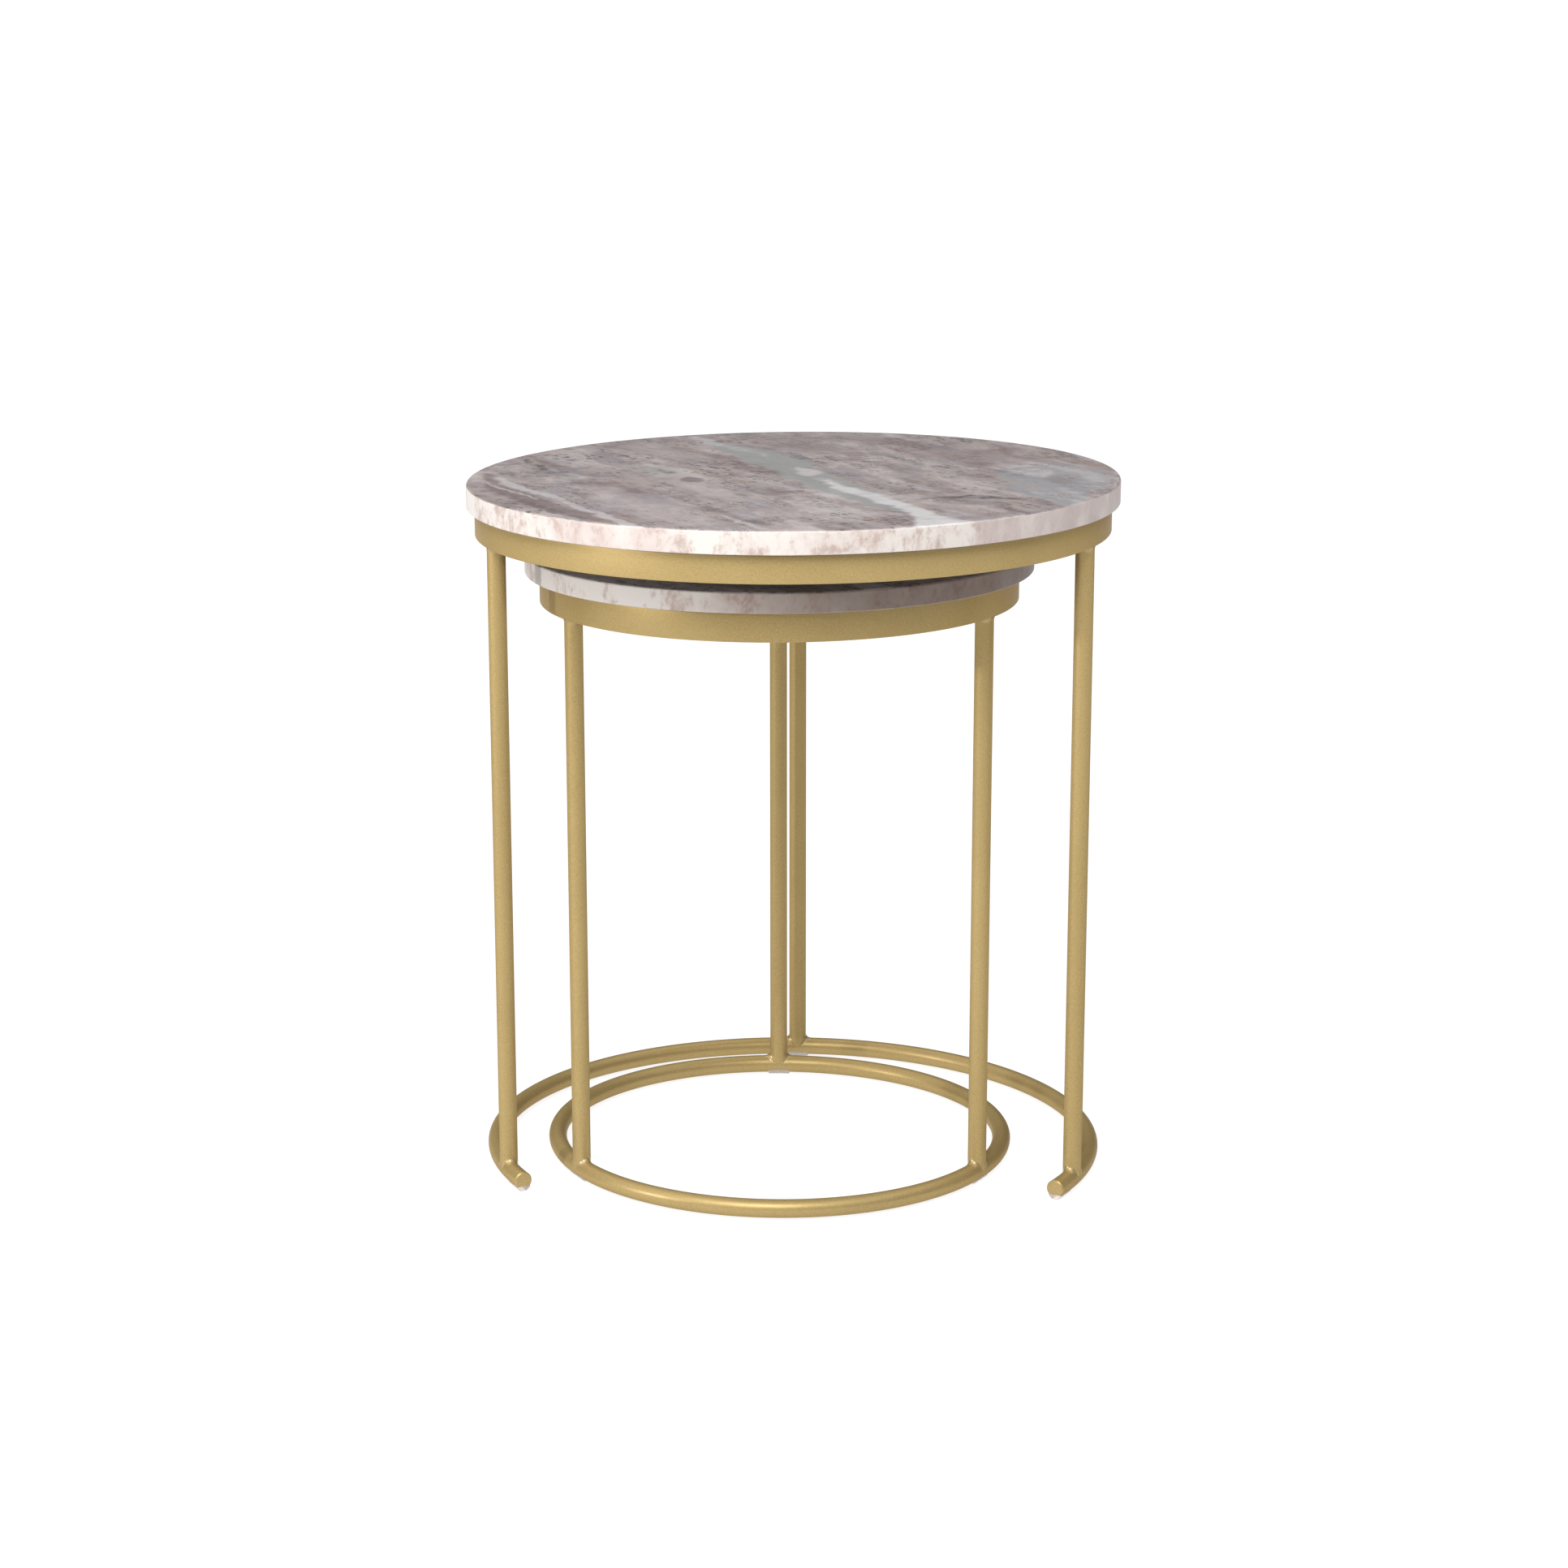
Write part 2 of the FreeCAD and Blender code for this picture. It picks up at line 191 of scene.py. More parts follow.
class Finish(Tree):
    """One material under construction, with the noises and mixes that finishes need."""

    def __init__(self, name):
        self.material = bpy.data.materials.new(name)
        self.material.use_nodes = True
        super().__init__(self.material.node_tree)
        self.tree.nodes.clear()
        self.place = self.node("ShaderNodeTexCoord", take=3)

    def vectors(self, operation, first, second):
        return self.node("ShaderNodeVectorMath", {"operation": operation}, {0: first, 1: second})

    def mapped(self, place=None, turn=0.0, scale=(1, 1, 1), shift=(0, 0, 0)):
        """The place moved, then turned clockwise about Z (in degrees), then stretched."""
        moved = self.vectors("ADD", place or self.place, shift)
        swung = self.node("ShaderNodeVectorRotate", {"rotation_type": "Z_AXIS"},
                          {"Vector": moved, "Angle": -math.radians(turn)})
        return self.vectors("MULTIPLY", swung, scale)

    def noise(self, place, scale, detail=2.0, roughness=0.5, take=0):
        """Cloudy noise; output 0 is a number and output 1 a colour."""
        sockets = {"Vector": place, "Scale": scale, "Detail": detail, "Roughness": roughness}
        return self.node("ShaderNodeTexNoise", None, sockets, take)

    def cells(self, place, scale, take=0):
        """Cells; output 0 is the distance to the nearest point and output 1 its colour."""
        return self.node("ShaderNodeTexVoronoi", None, {"Vector": place, "Scale": scale}, take)

    def warped(self, place, scale, strength, detail=2.0):
        """The place pushed about by a cloud of noise."""
        cloud = self.vectors("SUBTRACT", self.noise(place, scale, detail, take=1), (0.5, 0.5, 0.5))
        return self.vectors("ADD", place, self.vectors("MULTIPLY", cloud, (strength,) * 3))

    def axes(self, place):
        """The X, Y and Z of a vector, or the red, green and blue of a colour."""
        apart = self.node("ShaderNodeSeparateXYZ", None, {0: place})
        return [Wire(self, output) for output in apart.socket.node.outputs]

    def mix(self, share, first, second, how="MIX"):
        settings = {"data_type": "RGBA", "blend_type": how, "clamp_factor": True}
        return self.node("ShaderNodeMix", settings, {0: share, 6: first, 7: second}, take=2)

    def colours(self, value, stops):
        """A value read off a colour band."""
        return self.node("ShaderNodeValToRGB", {"stops": stops}, {0: value})

    def bump(self, height, distance, strength=1.0):
        sockets = {"Height": height, "Distance": distance, "Strength": strength}
        return self.node("ShaderNodeBump", None, sockets)

    def surface(self, **sockets):
        """The finished skin; a socket's spaces are written as underscores."""
        named = {key.replace("_", " "): value for key, value in sockets.items()}
        skin = self.node("ShaderNodeBsdfPrincipled", None, named)
        self.node("ShaderNodeOutputMaterial", None, {"Surface": skin})
        return self.material


# ---------- finishes

# Polished stone, from dark to light, then its warm, cool and green layers
DARK = linear(92, 88, 91)
BROWN = linear(138, 122, 121)
DEEP = linear(153, 141, 140)
MID = linear(169, 158, 157)
PALE = linear(180, 170, 168)
PINK = linear(194, 184, 183)
LIGHT = linear(205, 199, 200)
WHITE = linear(215, 212, 213)
BEIGE = linear(187, 170, 161)
LILAC = linear(158, 153, 160)
GREEN_GREY = linear(163, 165, 163)
PALE_GREEN = linear(187, 188, 184)
BLUE_GREY = linear(162, 165, 169)
# Honed edge, with the multiplier of its painted shade, and sawn underside, its grey partly painted
# shade
HONED_WHITE = linear(213, 206, 200)
HONED_PINK = linear(195, 179, 172)
HONED_LILAC = linear(188, 175, 173)
HONED_BROWN = linear(170, 149, 138)
# Painted shade: the honed edge's colour is multiplied by this where the tone rows ask for shade
HONED_PAINTED_SHADE = (0.34, 0.28, 0.25, 1.0)      # multiplies
# Sawn underside grey, darker than the real sawn stone: partly its duller face, partly painted shade
SAWN_GREY_AND_PAINTED_SHADE = linear(96, 90, 85)
SWAY = 100                  # widest a vein may bow from straight, end to end, in mm
EDGE_TONES_WIDTH = 0.5      # metres that the edge tones are spread over, left to right


class Stone(Finish):
    """Marble whose layers run across the slab, crossed by a few named veins."""

    def __init__(self, name, grain, shift):
        super().__init__(name)
        self.grain = grain
        self.slab = self.mapped(shift=shift)
        self.soft = self.warped(self.slab, 7.0, 0.030, 3.0)
        self.rough = self.warped(self.soft, 42.0, 0.008, 3.0)
        calm = self.warped(self.place, 14.0, 0.016, 3.0)
        ragged = self.warped(calm, 55.0, 0.015, 4.0)
        torn = self.warped(ragged, 170.0, 0.011, 4.0)
        self.outlines = {"calm": calm, "ragged": ragged, "torn": torn}

    def streaks(self, along, across, detail, roughness, seed):
        """Layers drawn out along the grain; the two scales are repeats per metre."""
        drawn = self.mapped(self.soft, self.grain, (along, across, across), (seed, seed, 0.0))
        return self.noise(drawn, 1.0, detail, roughness)

    def ground(self):
        """Mid-grey stone clouded with paler, browner, warmer and cooler layers."""
        broad = self.streaks(8, 27, 4, 0.55, 3.1)
        medium = self.streaks(24, 80, 5, 0.62, 7.7)
        fine = self.streaks(90, 300, 4, 0.68, 1.9)
        mottle = self.noise(self.rough, 36.0, 6.0, 0.66)
        tone = broad * 0.36 + medium * 0.28 + mottle * 0.24 + fine * 0.12
        stops = [(0.385, BROWN), (0.44, DEEP), (0.483, MID),
                 (0.52, PALE), (0.56, PINK), (0.625, LIGHT)]
        colour = self.colours(tone, stops)
        warm = self.streaks(20, 48, 4, 0.6, 12.3).ramp(0.50, 0.66)
        cool = self.streaks(16, 44, 4, 0.6, 23.9).ramp(0.50, 0.66)
        rust = self.noise(self.rough, 30.0, 4.0, 0.65).ramp(0.56, 0.70)
        colour = self.mix(warm * 0.60, colour, BEIGE)
        colour = self.mix(cool * 0.55, colour, LILAC)
        return self.mix(rust * 0.55, colour, BROWN)

    def flecks(self, colour, turn=44.0):
        """Small dark dashes lying at their own slant, and thin cracks, both in patches."""
        drawn = self.mapped(self.rough, -turn, (115, 270, 270))
        near = self.cells(drawn, 1.0)
        chosen = self.axes(self.cells(drawn, 1.0, take=1))[0].ramp(0.50, 0.75)
        gathered = self.noise(self.slab, 17.0, 3.0, 0.6).ramp(0.49, 0.60)
        dashes = near.ramp(0.44, 0.24) * gathered * chosen
        threads = abs(self.noise(self.mapped(self.rough, -turn, (26, 60, 60)), 1.0, 5.0, 0.75) - 0.5)
        broken = self.noise(self.slab, 27.0, 3.0, 0.6).ramp(0.48, 0.56)
        lines = threads.ramp(0.026, 0.005) * broken
        return self.mix((dashes * 0.80 + lines * 0.60).limited(), colour, DARK)

    def vein(self, path, outline, softness):
        """A mask, 1 inside a band along a path of (x, y, half width) points in mm."""
        (x0, y0, _), (x1, y1, _) = path[0], path[-1]
        run_x, run_y = x1 - x0, y1 - y0
        length = math.hypot(run_x, run_y)
        turn = math.degrees(math.atan2(run_y, run_x))
        stops = []
        for x, y, half in path:
            ahead = ((x - x0) * run_x + (y - y0) * run_y) / length ** 2
            aside = (run_x * (y - y0) - run_y * (x - x0)) / length
            stops.append((ahead, (aside / SWAY + 0.5, half / SWAY, 0.0, 1.0)))
        local = self.mapped(self.outlines[outline], turn, (1 / (length * MM), 1, 1),
                            (-x0 * MM, -y0 * MM, 0))
        along, off, _ = self.axes(local)
        bow, half, _ = self.axes(self.colours(along, stops))
        inside = half * (SWAY * MM) - abs(off - (bow - 0.5) * (SWAY * MM))
        ends = softness / length
        body = inside.ramp(-softness * MM, softness * MM)
        return body * along.ramp(-ends, ends) * along.ramp(1 + ends, 1 - ends)

    def veined(self, colour, veins):
        """The colour crossed by the veins, each broken up by fine wisps."""
        wisps = self.noise(self.rough, 75.0, 5.0, 0.68)
        torn = wisps.ramp(0.40, 0.56) * 0.7 + 0.3
        whole = wisps.ramp(0.30, 0.56) * 0.4 + 0.6
        for tint, strength, outline, softness, path in veins:
            share = self.vein(path, outline, softness) * (torn if outline == "torn" else whole)
            colour = self.mix(share * strength, colour, tint)
        return colour

    def honed(self, edge_tones_and_shade, lowest):
        """The rim's colour, its painted shade and its pits; the tones and the painted shade change from
        left to right.
        """
        drawn = self.mapped(self.rough, 0, (1, 1, 0.7))
        blotch = self.noise(drawn, 40.0, 5.0, 0.6)
        thread = self.noise(drawn, 190.0, 4.0, 0.65)
        across = self.axes(self.outlines["torn"])[0] / EDGE_TONES_WIDTH + 0.5
        stops = [(place, (*tones, 1.0)) for place, *tones in edge_tones_and_shade]
        pink, lilac, painted_shade = self.axes(self.colours(across, stops))
        pinker = (pink + (blotch - 0.5) * 3.6 + (thread - 0.5) * 1.0).limited()
        colour = self.mix(pinker, HONED_WHITE, HONED_PINK)
        colour = self.mix((blotch * 0.5 + thread * 0.5).ramp(0.50, 0.64) * 0.75, colour, HONED_BROWN)
        colour = self.mix(lilac * (blotch.ramp(0.36, 0.60) * 0.6 + 0.4), colour, HONED_LILAC)
        # Painted shade on the edge, as much as the rows' shade column asks; on the small slab it
        # deepens to the right, under the large table
        colour = self.mix(painted_shade, colour, HONED_PAINTED_SHADE, "MULTIPLY")
        pits = self.cells(self.mapped(scale=(1, 1, 0.6)), 420.0).ramp(0.16, 0.08)
        pits = pits * self.noise(self.slab, 30.0).ramp(0.56, 0.66)
        colour = self.mix(pits * 0.5, colour, HONED_BROWN)
        # Painted shade: the lowest millimetre of the edge darkened brown, along the seam above the
        # apron
        lip = self.axes(self.place)[2].ramp(lowest + 0.9 * MM, lowest + 0.1 * MM) * 0.35
        return self.mix(lip, colour, HONED_BROWN), pits


def polished_stone(name, grain, shift, veins, edge_tones_and_shade, lowest):
    """Marble with a polished face, a paler honed edge with painted shade, and a grey sawn underside
    that is partly painted shade.
    """
    stone = Stone(name, grain, shift)
    face = stone.veined(stone.flecks(stone.ground()), veins)
    edge, pits = stone.honed(edge_tones_and_shade, lowest)
    up = stone.axes(stone.node("ShaderNodeNewGeometry", take=1))[2]
    side = abs(up).ramp(0.80, 0.45)
    under = up.ramp(-0.6, -0.9)
    # Downward faces mixed towards the dark sawn grey: partly the duller sawn face, partly painted shade
    colour = stone.mix(under, face, stone.mix(0.75, face, SAWN_GREY_AND_PAINTED_SHADE))
    colour = stone.mix(side, colour, edge)
    polish = stone.noise(stone.rough, 60.0, 4.0, 0.6) * 0.12 + 0.16
    roughness = polish + side * 0.26 + under * 0.35
    grit = stone.noise(stone.slab, 900.0, 3.0, 0.6) * (side + under).limited()
    normal = stone.bump(grit - pits * side, 0.06 * MM, 0.5)
    return stone.surface(Base_Color=colour, Roughness=roughness, Normal=normal,
                         Specular_IOR_Level=0.42)


def powder_coat(name, coat, thin, flake, gloss):
    """Satin gold powder coat: orange-peel skin, fine flake, thinner on the arrises."""
    paint = Finish(name)
    place = paint.place
    drift = paint.noise(place, 9.0, 3.0, 0.55)
    speck = paint.noise(place, 1150.0, 3.0, 0.7)
    sparkle = paint.cells(place, 2600.0, take=1)
    sparkle_share = paint.axes(sparkle)[0]
    colour = paint.mix(drift.ramp(0.35, 0.65) * 0.5, coat, thin)
    colour = paint.mix(speck.ramp(0.40, 0.60) * 0.30, colour, flake)
    colour = paint.mix(sparkle_share.ramp(0.80, 1.0) * 0.22, colour, flake)
    worn = paint.node("ShaderNodeNewGeometry", take=7).ramp(0.53, 0.62)
    scuffed = worn * paint.noise(place, 160.0, 4.0, 0.65).ramp(0.45, 0.62)
    colour = paint.mix(scuffed * 0.35, colour, flake)
    dust = paint.noise(place, 34.0, 5.0, 0.6)
    roughness = dust * 0.12 + speck * 0.10 + 0.31 - scuffed * 0.08
    peel = paint.noise(place, 620.0, 2.0, 0.5) + speck * 0.35
    normal = paint.bump(peel, 0.035 * MM, 0.45)
    return paint.surface(Base_Color=colour, Metallic=0.45, Roughness=roughness,
                         Normal=normal, Specular_IOR_Level=0.1,
                         Specular_Tint=linear(150, 124, 78),
                         Coat_Weight=gloss, Coat_Roughness=0.16)


def clear_pad(name):
    """Clear soft plastic, a little cloudy and scuffed where it meets the floor."""
    pad = Finish(name)
    cloud = pad.noise(pad.place, 220.0, 4.0, 0.6)
    height = pad.axes(pad.place)[2]
    scuff = height.ramp(1.2 * MM, 0.1 * MM) * pad.noise(pad.place, 700.0, 4.0, 0.7)
    colour = pad.mix(cloud * 0.5, linear(226, 216, 210), linear(206, 192, 184))
    roughness = cloud * 0.15 + scuff * 0.35 + 0.16
    normal = pad.bump(cloud + scuff, 0.05 * MM, 0.3)
    return pad.surface(Base_Color=colour, Roughness=roughness, Normal=normal,
                       Transmission_Weight=0.45, IOR=1.45)


def bright_metal(name, light, dark, rub, roughness):
    """Plated or turned metal with fine tool marks round its own axis."""
    metal = Finish(name)
    drift = metal.noise(metal.place, 120.0, 4.0, 0.6)
    marks = metal.noise(metal.mapped(scale=(1, 1, 14)), 420.0, 3.0, 0.6)
    edge = metal.node("ShaderNodeNewGeometry", take=7).ramp(0.52, 0.60)
    colour = metal.mix(drift.ramp(0.35, 0.7), light, dark)
    colour = metal.mix(edge * 0.5, colour, rub)
    gloss = marks * 0.16 + drift * 0.10 + roughness
    normal = metal.bump(marks, 0.02 * MM, 0.4)
    return metal.surface(Base_Color=colour, Metallic=1.0, Roughness=gloss, Normal=normal)


# Veins: tint, strength, outline, softness of the outline in mm, and the path as
# (x, y, half width) points in mm, in the order in which they lie over each other
LARGE_VEINS = [
    (BROWN, 0.45, "calm", 18, [(30, 200, 14), (75, 150, 20), (120, 100, 26), (165, 60, 16)]),
    (DEEP, 0.45, "calm", 16, [(-40, 215, 10), (-10, 165, 18), (30, 120, 12)]),
    (PINK, 0.5, "ragged", 12, [(-125, 165, 10), (-105, 125, 22), (-80, 100, 8)]),
    (PINK, 0.6, "ragged", 9, [(-85, 20, 5), (-66, -30, 15), (-48, -70, 13), (-30, -105, 5)]),
    (PINK, 0.45, "ragged", 10, [(-125, -40, 8), (-110, -105, 17), (-75, -160, 20), (-40, -200, 8)]),
    (PALE_GREEN, 0.4, "ragged", 8, [(-110, 62, 6), (-88, 32, 14), (-82, 5, 5)]),
    (GREEN_GREY, 0.9, "ragged", 3, [(-66, 186, 2), (-55, 160, 6), (-47, 146, 10), (-35, 122, 16),
        (-22, 98, 17), (-12, 74, 19), (-3, 49, 15), (5, 25, 15), (12, 0, 16), (22, -25, 16),
        (36, -50, 15), (47, -75, 15), (55, -100, 11), (65, -125, 8), (74, -146, 3)]),
    (LIGHT, 0.65, "ragged", 2.5, [(-76, 202, 2), (-60, 170, 5), (-50, 148, 3)]),
    (PALE_GREEN, 0.75, "torn", 3, [(-50, 152, 2), (-38, 134, 6), (-26, 116, 4), (-18, 96, 1)]),
    (LIGHT, 0.9, "ragged", 3, [(5, 43, 2), (9, 32, 7), (12, 18, 8), (13, 3, 3)]),
    (PALE_GREEN, 0.55, "torn", 3, [(14, -4, 3), (24, -22, 6), (31, -42, 4)]),
    (WHITE, 1, "ragged", 3.2, [(20, -14, 1), (30, -34, 3.5), (39, -54, 7), (49, -74, 8), (61, -94, 7),
        (69, -114, 7), (77, -130, 6), (84, -148, 7), (91, -168, 9), (98, -184, 15), (104, -200, 23),
        (110, -215, 28)]),
    (LIGHT, 0.55, "torn", 3, [(64, 206, 3), (74, 190, 6), (88, 168, 2)]),
    (BLUE_GREY, 0.8, "torn", 4, [(166, 46, 20), (172, 30, 31), (178, 6, 37), (180, -30, 36),
        (178, -60, 27), (178, -88, 17), (186, -122, 9), (196, -150, 3)]),
    (LIGHT, 0.7, "torn", 5, [(144, 56, 3), (156, 38, 11), (166, 16, 11), (176, -4, 4)]),
    (LIGHT, 0.55, "torn", 4, [(176, 48, 3), (192, 24, 6), (204, -2, 7), (212, -30, 5)]),
    (DEEP, 0.7, "torn", 3, [(180, 6, 2), (184, -14, 7), (186, -34, 3)]),
    (LIGHT, 0.45, "torn", 3, [(180, -50, 2), (188, -74, 6), (194, -100, 3)]),
    (LIGHT, 0.45, "ragged", 3, [(196, 108, 3), (206, 84, 6), (214, 56, 3)]),
    (LIGHT, 0.5, "torn", 2.5, [(182, -100, 2), (192, -122, 6), (200, -146, 3)]),
    (BROWN, 0.85, "ragged", 3, [(-214, 20, 3), (-198, -40, 8), (-180, -80, 9), (-160, -118, 9),
        (-138, -150, 8), (-118, -182, 5)]),
    (DARK, 0.4, "torn", 2, [(-196, -62, 1), (-170, -108, 3), (-146, -146, 3), (-124, -180, 1)]),
    (LIGHT, 0.8, "ragged", 1.4, [(-202, 6, 1), (-188, -24, 4), (-174, -56, 4), (-154, -92, 3),
        (-128, -138, 3), (-104, -184, 4), (-92, -206, 7)]),
    (LIGHT, 0.65, "ragged", 1, [(-212, -10, 1), (-200, -34, 2), (-184, -62, 1.5), (-168, -92, 1)]),
    (PINK, 0.7, "calm", 1.5, [(-150, -100, 1), (-136, -122, 3), (-122, -150, 1)]),
    (DARK, 0.75, "torn", 2, [(-194, 92, 1), (-182, 66, 3), (-172, 42, 3), (-162, 22, 5), (-156, 8, 3)]),
    (BLUE_GREY, 0.6, "torn", 3, [(-166, 24, 3), (-152, 12, 7), (-146, 0, 4)]),
    (DARK, 0.65, "torn", 1, [(-150, 160, 0.5), (-134, 108, 1.4), (-116, 96, 1.8), (-90, 87, 1),
        (-70, 64, 1.4), (-40, 32, 0.6)]),
    (DARK, 0.7, "torn", 2, [(-92, 42, 1), (-87, 32, 4), (-84, 22, 2)]),
    (BROWN, 0.85, "ragged", 2, [(-72, 6, 2), (-68, -4, 6), (-66, -16, 5)]),
    (DARK, 0.55, "torn", 2, [(0, 102, 2), (6, 92, 5), (8, 84, 2)]),
    (DARK, 0.55, "torn", 1.5, [(14, 84, 1), (28, 78, 3), (38, 72, 1)]),
    (DARK, 0.6, "torn", 1.2, [(68, 96, 0.8), (75, 84, 2.5), (80, 72, 0.8)]),
    (DARK, 0.5, "torn", 1.5, [(-28, 28, 1), (-20, 24, 4), (-14, 18, 1)]),
    (DARK, 0.45, "torn", 1.5, [(-34, -68, 1), (-28, -78, 4), (-24, -88, 1)]),
    (DARK, 0.6, "torn", 1, [(-30, -40, 0.6), (-22, -56, 1.6), (-18, -68, 0.6)]),
    (DARK, 0.75, "torn", 2, [(88, -98, 1.5), (104, -90, 3), (128, -88, 9), (144, -98, 3),
        (158, -101, 1)]),
    (BLUE_GREY, 0.5, "torn", 3, [(108, -96, 2), (130, -104, 5), (150, -104, 2)]),
    (PINK, 0.8, "torn", 1.4, [(116, -6, 1), (126, -36, 2), (140, -66, 2), (160, -96, 1.5)]),
    (LIGHT, 0.6, "torn", 1.4, [(56, 12, 1), (66, -12, 2), (76, -30, 2), (90, -34, 1.5), (92, -18, 1)]),
    (BROWN, 0.6, "ragged", 3, [(70, -6, 2), (82, -22, 5), (86, -34, 2)]),
    (LIGHT, 0.7, "ragged", 1.2, [(-42, -158, 1), (-28, -184, 2.5), (-12, -216, 2)]),
    (PINK, 0.7, "torn", 1.4, [(-70, -88, 1), (-62, -108, 2), (-54, -124, 1)]),
    (DEEP, 0.6, "ragged", 5, [(104, -176, 3), (128, -168, 12), (152, -150, 6)]),
]
SMALL_VEINS = [
    (GREEN_GREY, 0.9, "ragged", 2.4, [(-118, 124, 3), (-92, 78, 14), (-60, 20, 17), (-24, -50, 15),
        (8, -110, 12), (32, -162, 4)]),
    (WHITE, 0.85, "ragged", 2.2, [(-58, 62, 2), (-28, 0, 6), (14, -66, 7), (48, -130, 6),
        (70, -168, 12)]),
    (PINK, 0.5, "ragged", 10, [(-130, 20, 8), (-100, -50, 18), (-60, -120, 8)]),
    (BROWN, 0.65, "ragged", 3, [(54, 150, 3), (92, 84, 11), (128, 20, 9), (160, -44, 3)]),
    (LIGHT, 0.65, "torn", 1.4, [(30, 156, 1), (72, 74, 3), (100, 10, 3), (124, -62, 1)]),
    (DARK, 0.6, "torn", 2, [(-142, -12, 1), (-118, -46, 5), (-90, -92, 1)]),
    (DARK, 0.55, "torn", 1.5, [(20, 60, 1), (36, 40, 4), (60, 32, 1)]),
]

# Tones of the honed edges, as rows of place from left to right (0 to 1), pink, lilac and painted shade
LARGE_EDGE_TONES = [
    (0.03, 0.10, 0.0, 0.0), (0.18, 0.05, 0.0, 0.0), (0.21, 0.75, 0.10, 0.0), (0.34, 0.75, 0.15, 0.0),
    (0.38, 0.15, 0.0, 0.0), (0.60, 0.30, 0.0, 0.0), (0.66, 0.05, 0.0, 0.0), (0.74, 0.0, 0.0, 0.0),
    (0.755, 0.60, 0.60, 0.0), (0.95, 0.70, 0.80, 0.0),
]
# The small slab's shade column is painted shade from the large table above it, deepening to the right
SMALL_EDGE_TONES_AND_SHADE = [
    (0.13, 0.4, 0.0, 0.15), (0.17, 0.0, 0.0, 0.0), (0.34, 0.1, 0.0, 0.0), (0.42, 0.4, 0.0, 0.20),
    (0.50, 0.7, 0.0, 0.62), (0.62, 0.8, 0.0, 0.80), (0.82, 1.0, 0.0, 0.92),
]


# ---------- shapes

def plain_mesh(piece):
    """The evaluated shape of an object, modifiers applied, as its own plain mesh."""
    graph = bpy.context.evaluated_depsgraph_get()
    shape = bpy.data.meshes.new_from_object(piece.evaluated_get(graph))
    piece.modifiers.clear()
    piece.data = shape
    return piece


def new_piece(name, shape):
    piece = bpy.data.objects.new(name, shape)
    bpy.context.scene.collection.objects.link(piece)
    return piece


def mesh_of(work, name):
    """A bmesh finished into a mesh: doubles merged, faces turned outwards."""
    bmesh.ops.remove_doubles(work, verts=work.verts, dist=DOUBLE)
    bmesh.ops.recalc_face_normals(work, faces=work.faces)
    shape = bpy.data.meshes.new(name)
    work.to_mesh(shape)
    work.free()
    return shape


def remade(piece, name):
    """The piece's own mesh with its doubles merged and its faces turned outwards."""
    work = bmesh.new()
    work.from_mesh(piece.data)
    piece.data = mesh_of(work, name)


def bored(piece, places, radius, depth, sides):
    """Cuts a straight hole or socket upwards into the piece at each place."""
    holes = bmesh.new()
    for place in places:
        bmesh.ops.create_cone(holes, cap_ends=True, segments=sides, radius1=radius, radius2=radius,
                              depth=2 * depth, matrix=Matrix.Translation(place))
    cutter = new_piece("cutter", mesh_of(holes, "holes"))
    cut = piece.modifiers.new("holes", "BOOLEAN")
    cut.object = cutter
    cut.solver = "EXACT"
    plain_mesh(piece)
    bpy.data.objects.remove(cutter)


def finished(piece, table, material, node):
    """Smooth faces with crisp edges, one material, and a place on its table."""
    shape = piece.data
    shape.materials.clear()
    shape.materials.append(material)
    for face in shape.polygons:
        face.use_smooth = True
    shape.set_sharp_from_angle(angle=SHARP)
    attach(piece, table.body)
    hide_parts(f"{table.name}_{node}")


def modelled(table, piece_name, work, material, node):
    """A bmesh as a finished piece of its table."""
    piece = new_piece(f"{table.name}_{piece_name}", mesh_of(work, piece_name))
    finished(piece, table, material, node)


def turns(steps):
    """Even angles once round, in radians."""
    return [2 * math.pi * step / steps for step in range(steps)]


def quarter_arc(steps):
    """Points of a quarter circle of radius 1 that bows towards its corner at (0, 0)."""
    swings = [math.radians(90 * step / steps) for step in range(steps + 1)]
    return [(1 - math.sin(swing), 1 - math.cos(swing)) for swing in swings]


def skin(rows, endless=False, work=None):
    """Joins rings of points into a skin; unless it is endless, its ends get a face each."""
    work = bmesh.new() if work is None else work
    made = [[work.verts.new(point) for point in row] for row in rows]
    count = len(made[0])
    pairs = list(zip(made, made[1:]))
    if endless:
        pairs.append((made[-1], made[0]))
    for first, second in pairs:
        for i in range(count):
            j = (i + 1) % count
            work.faces.new((first[i], first[j], second[j], second[i]))
    if not endless:
        work.faces.new(made[0])
        work.faces.new(made[-1])
    return work


def turned(outline, middle, steps):
    """A closed solid made by turning an outline about an upright axis."""
    work = bmesh.new()
    made = []
    for around in turns(steps):
        out = Vector((math.cos(around), math.sin(around), 0))
        made.append([work.verts.new(middle + out * r + Vector((0, 0, z))) for r, z in outline])
    for here, there in zip(made, made[1:] + made[:1]):
        for i in range(len(outline) - 1):
            work.faces.new((here[i], there[i], there[i + 1], here[i + 1]))
    return work


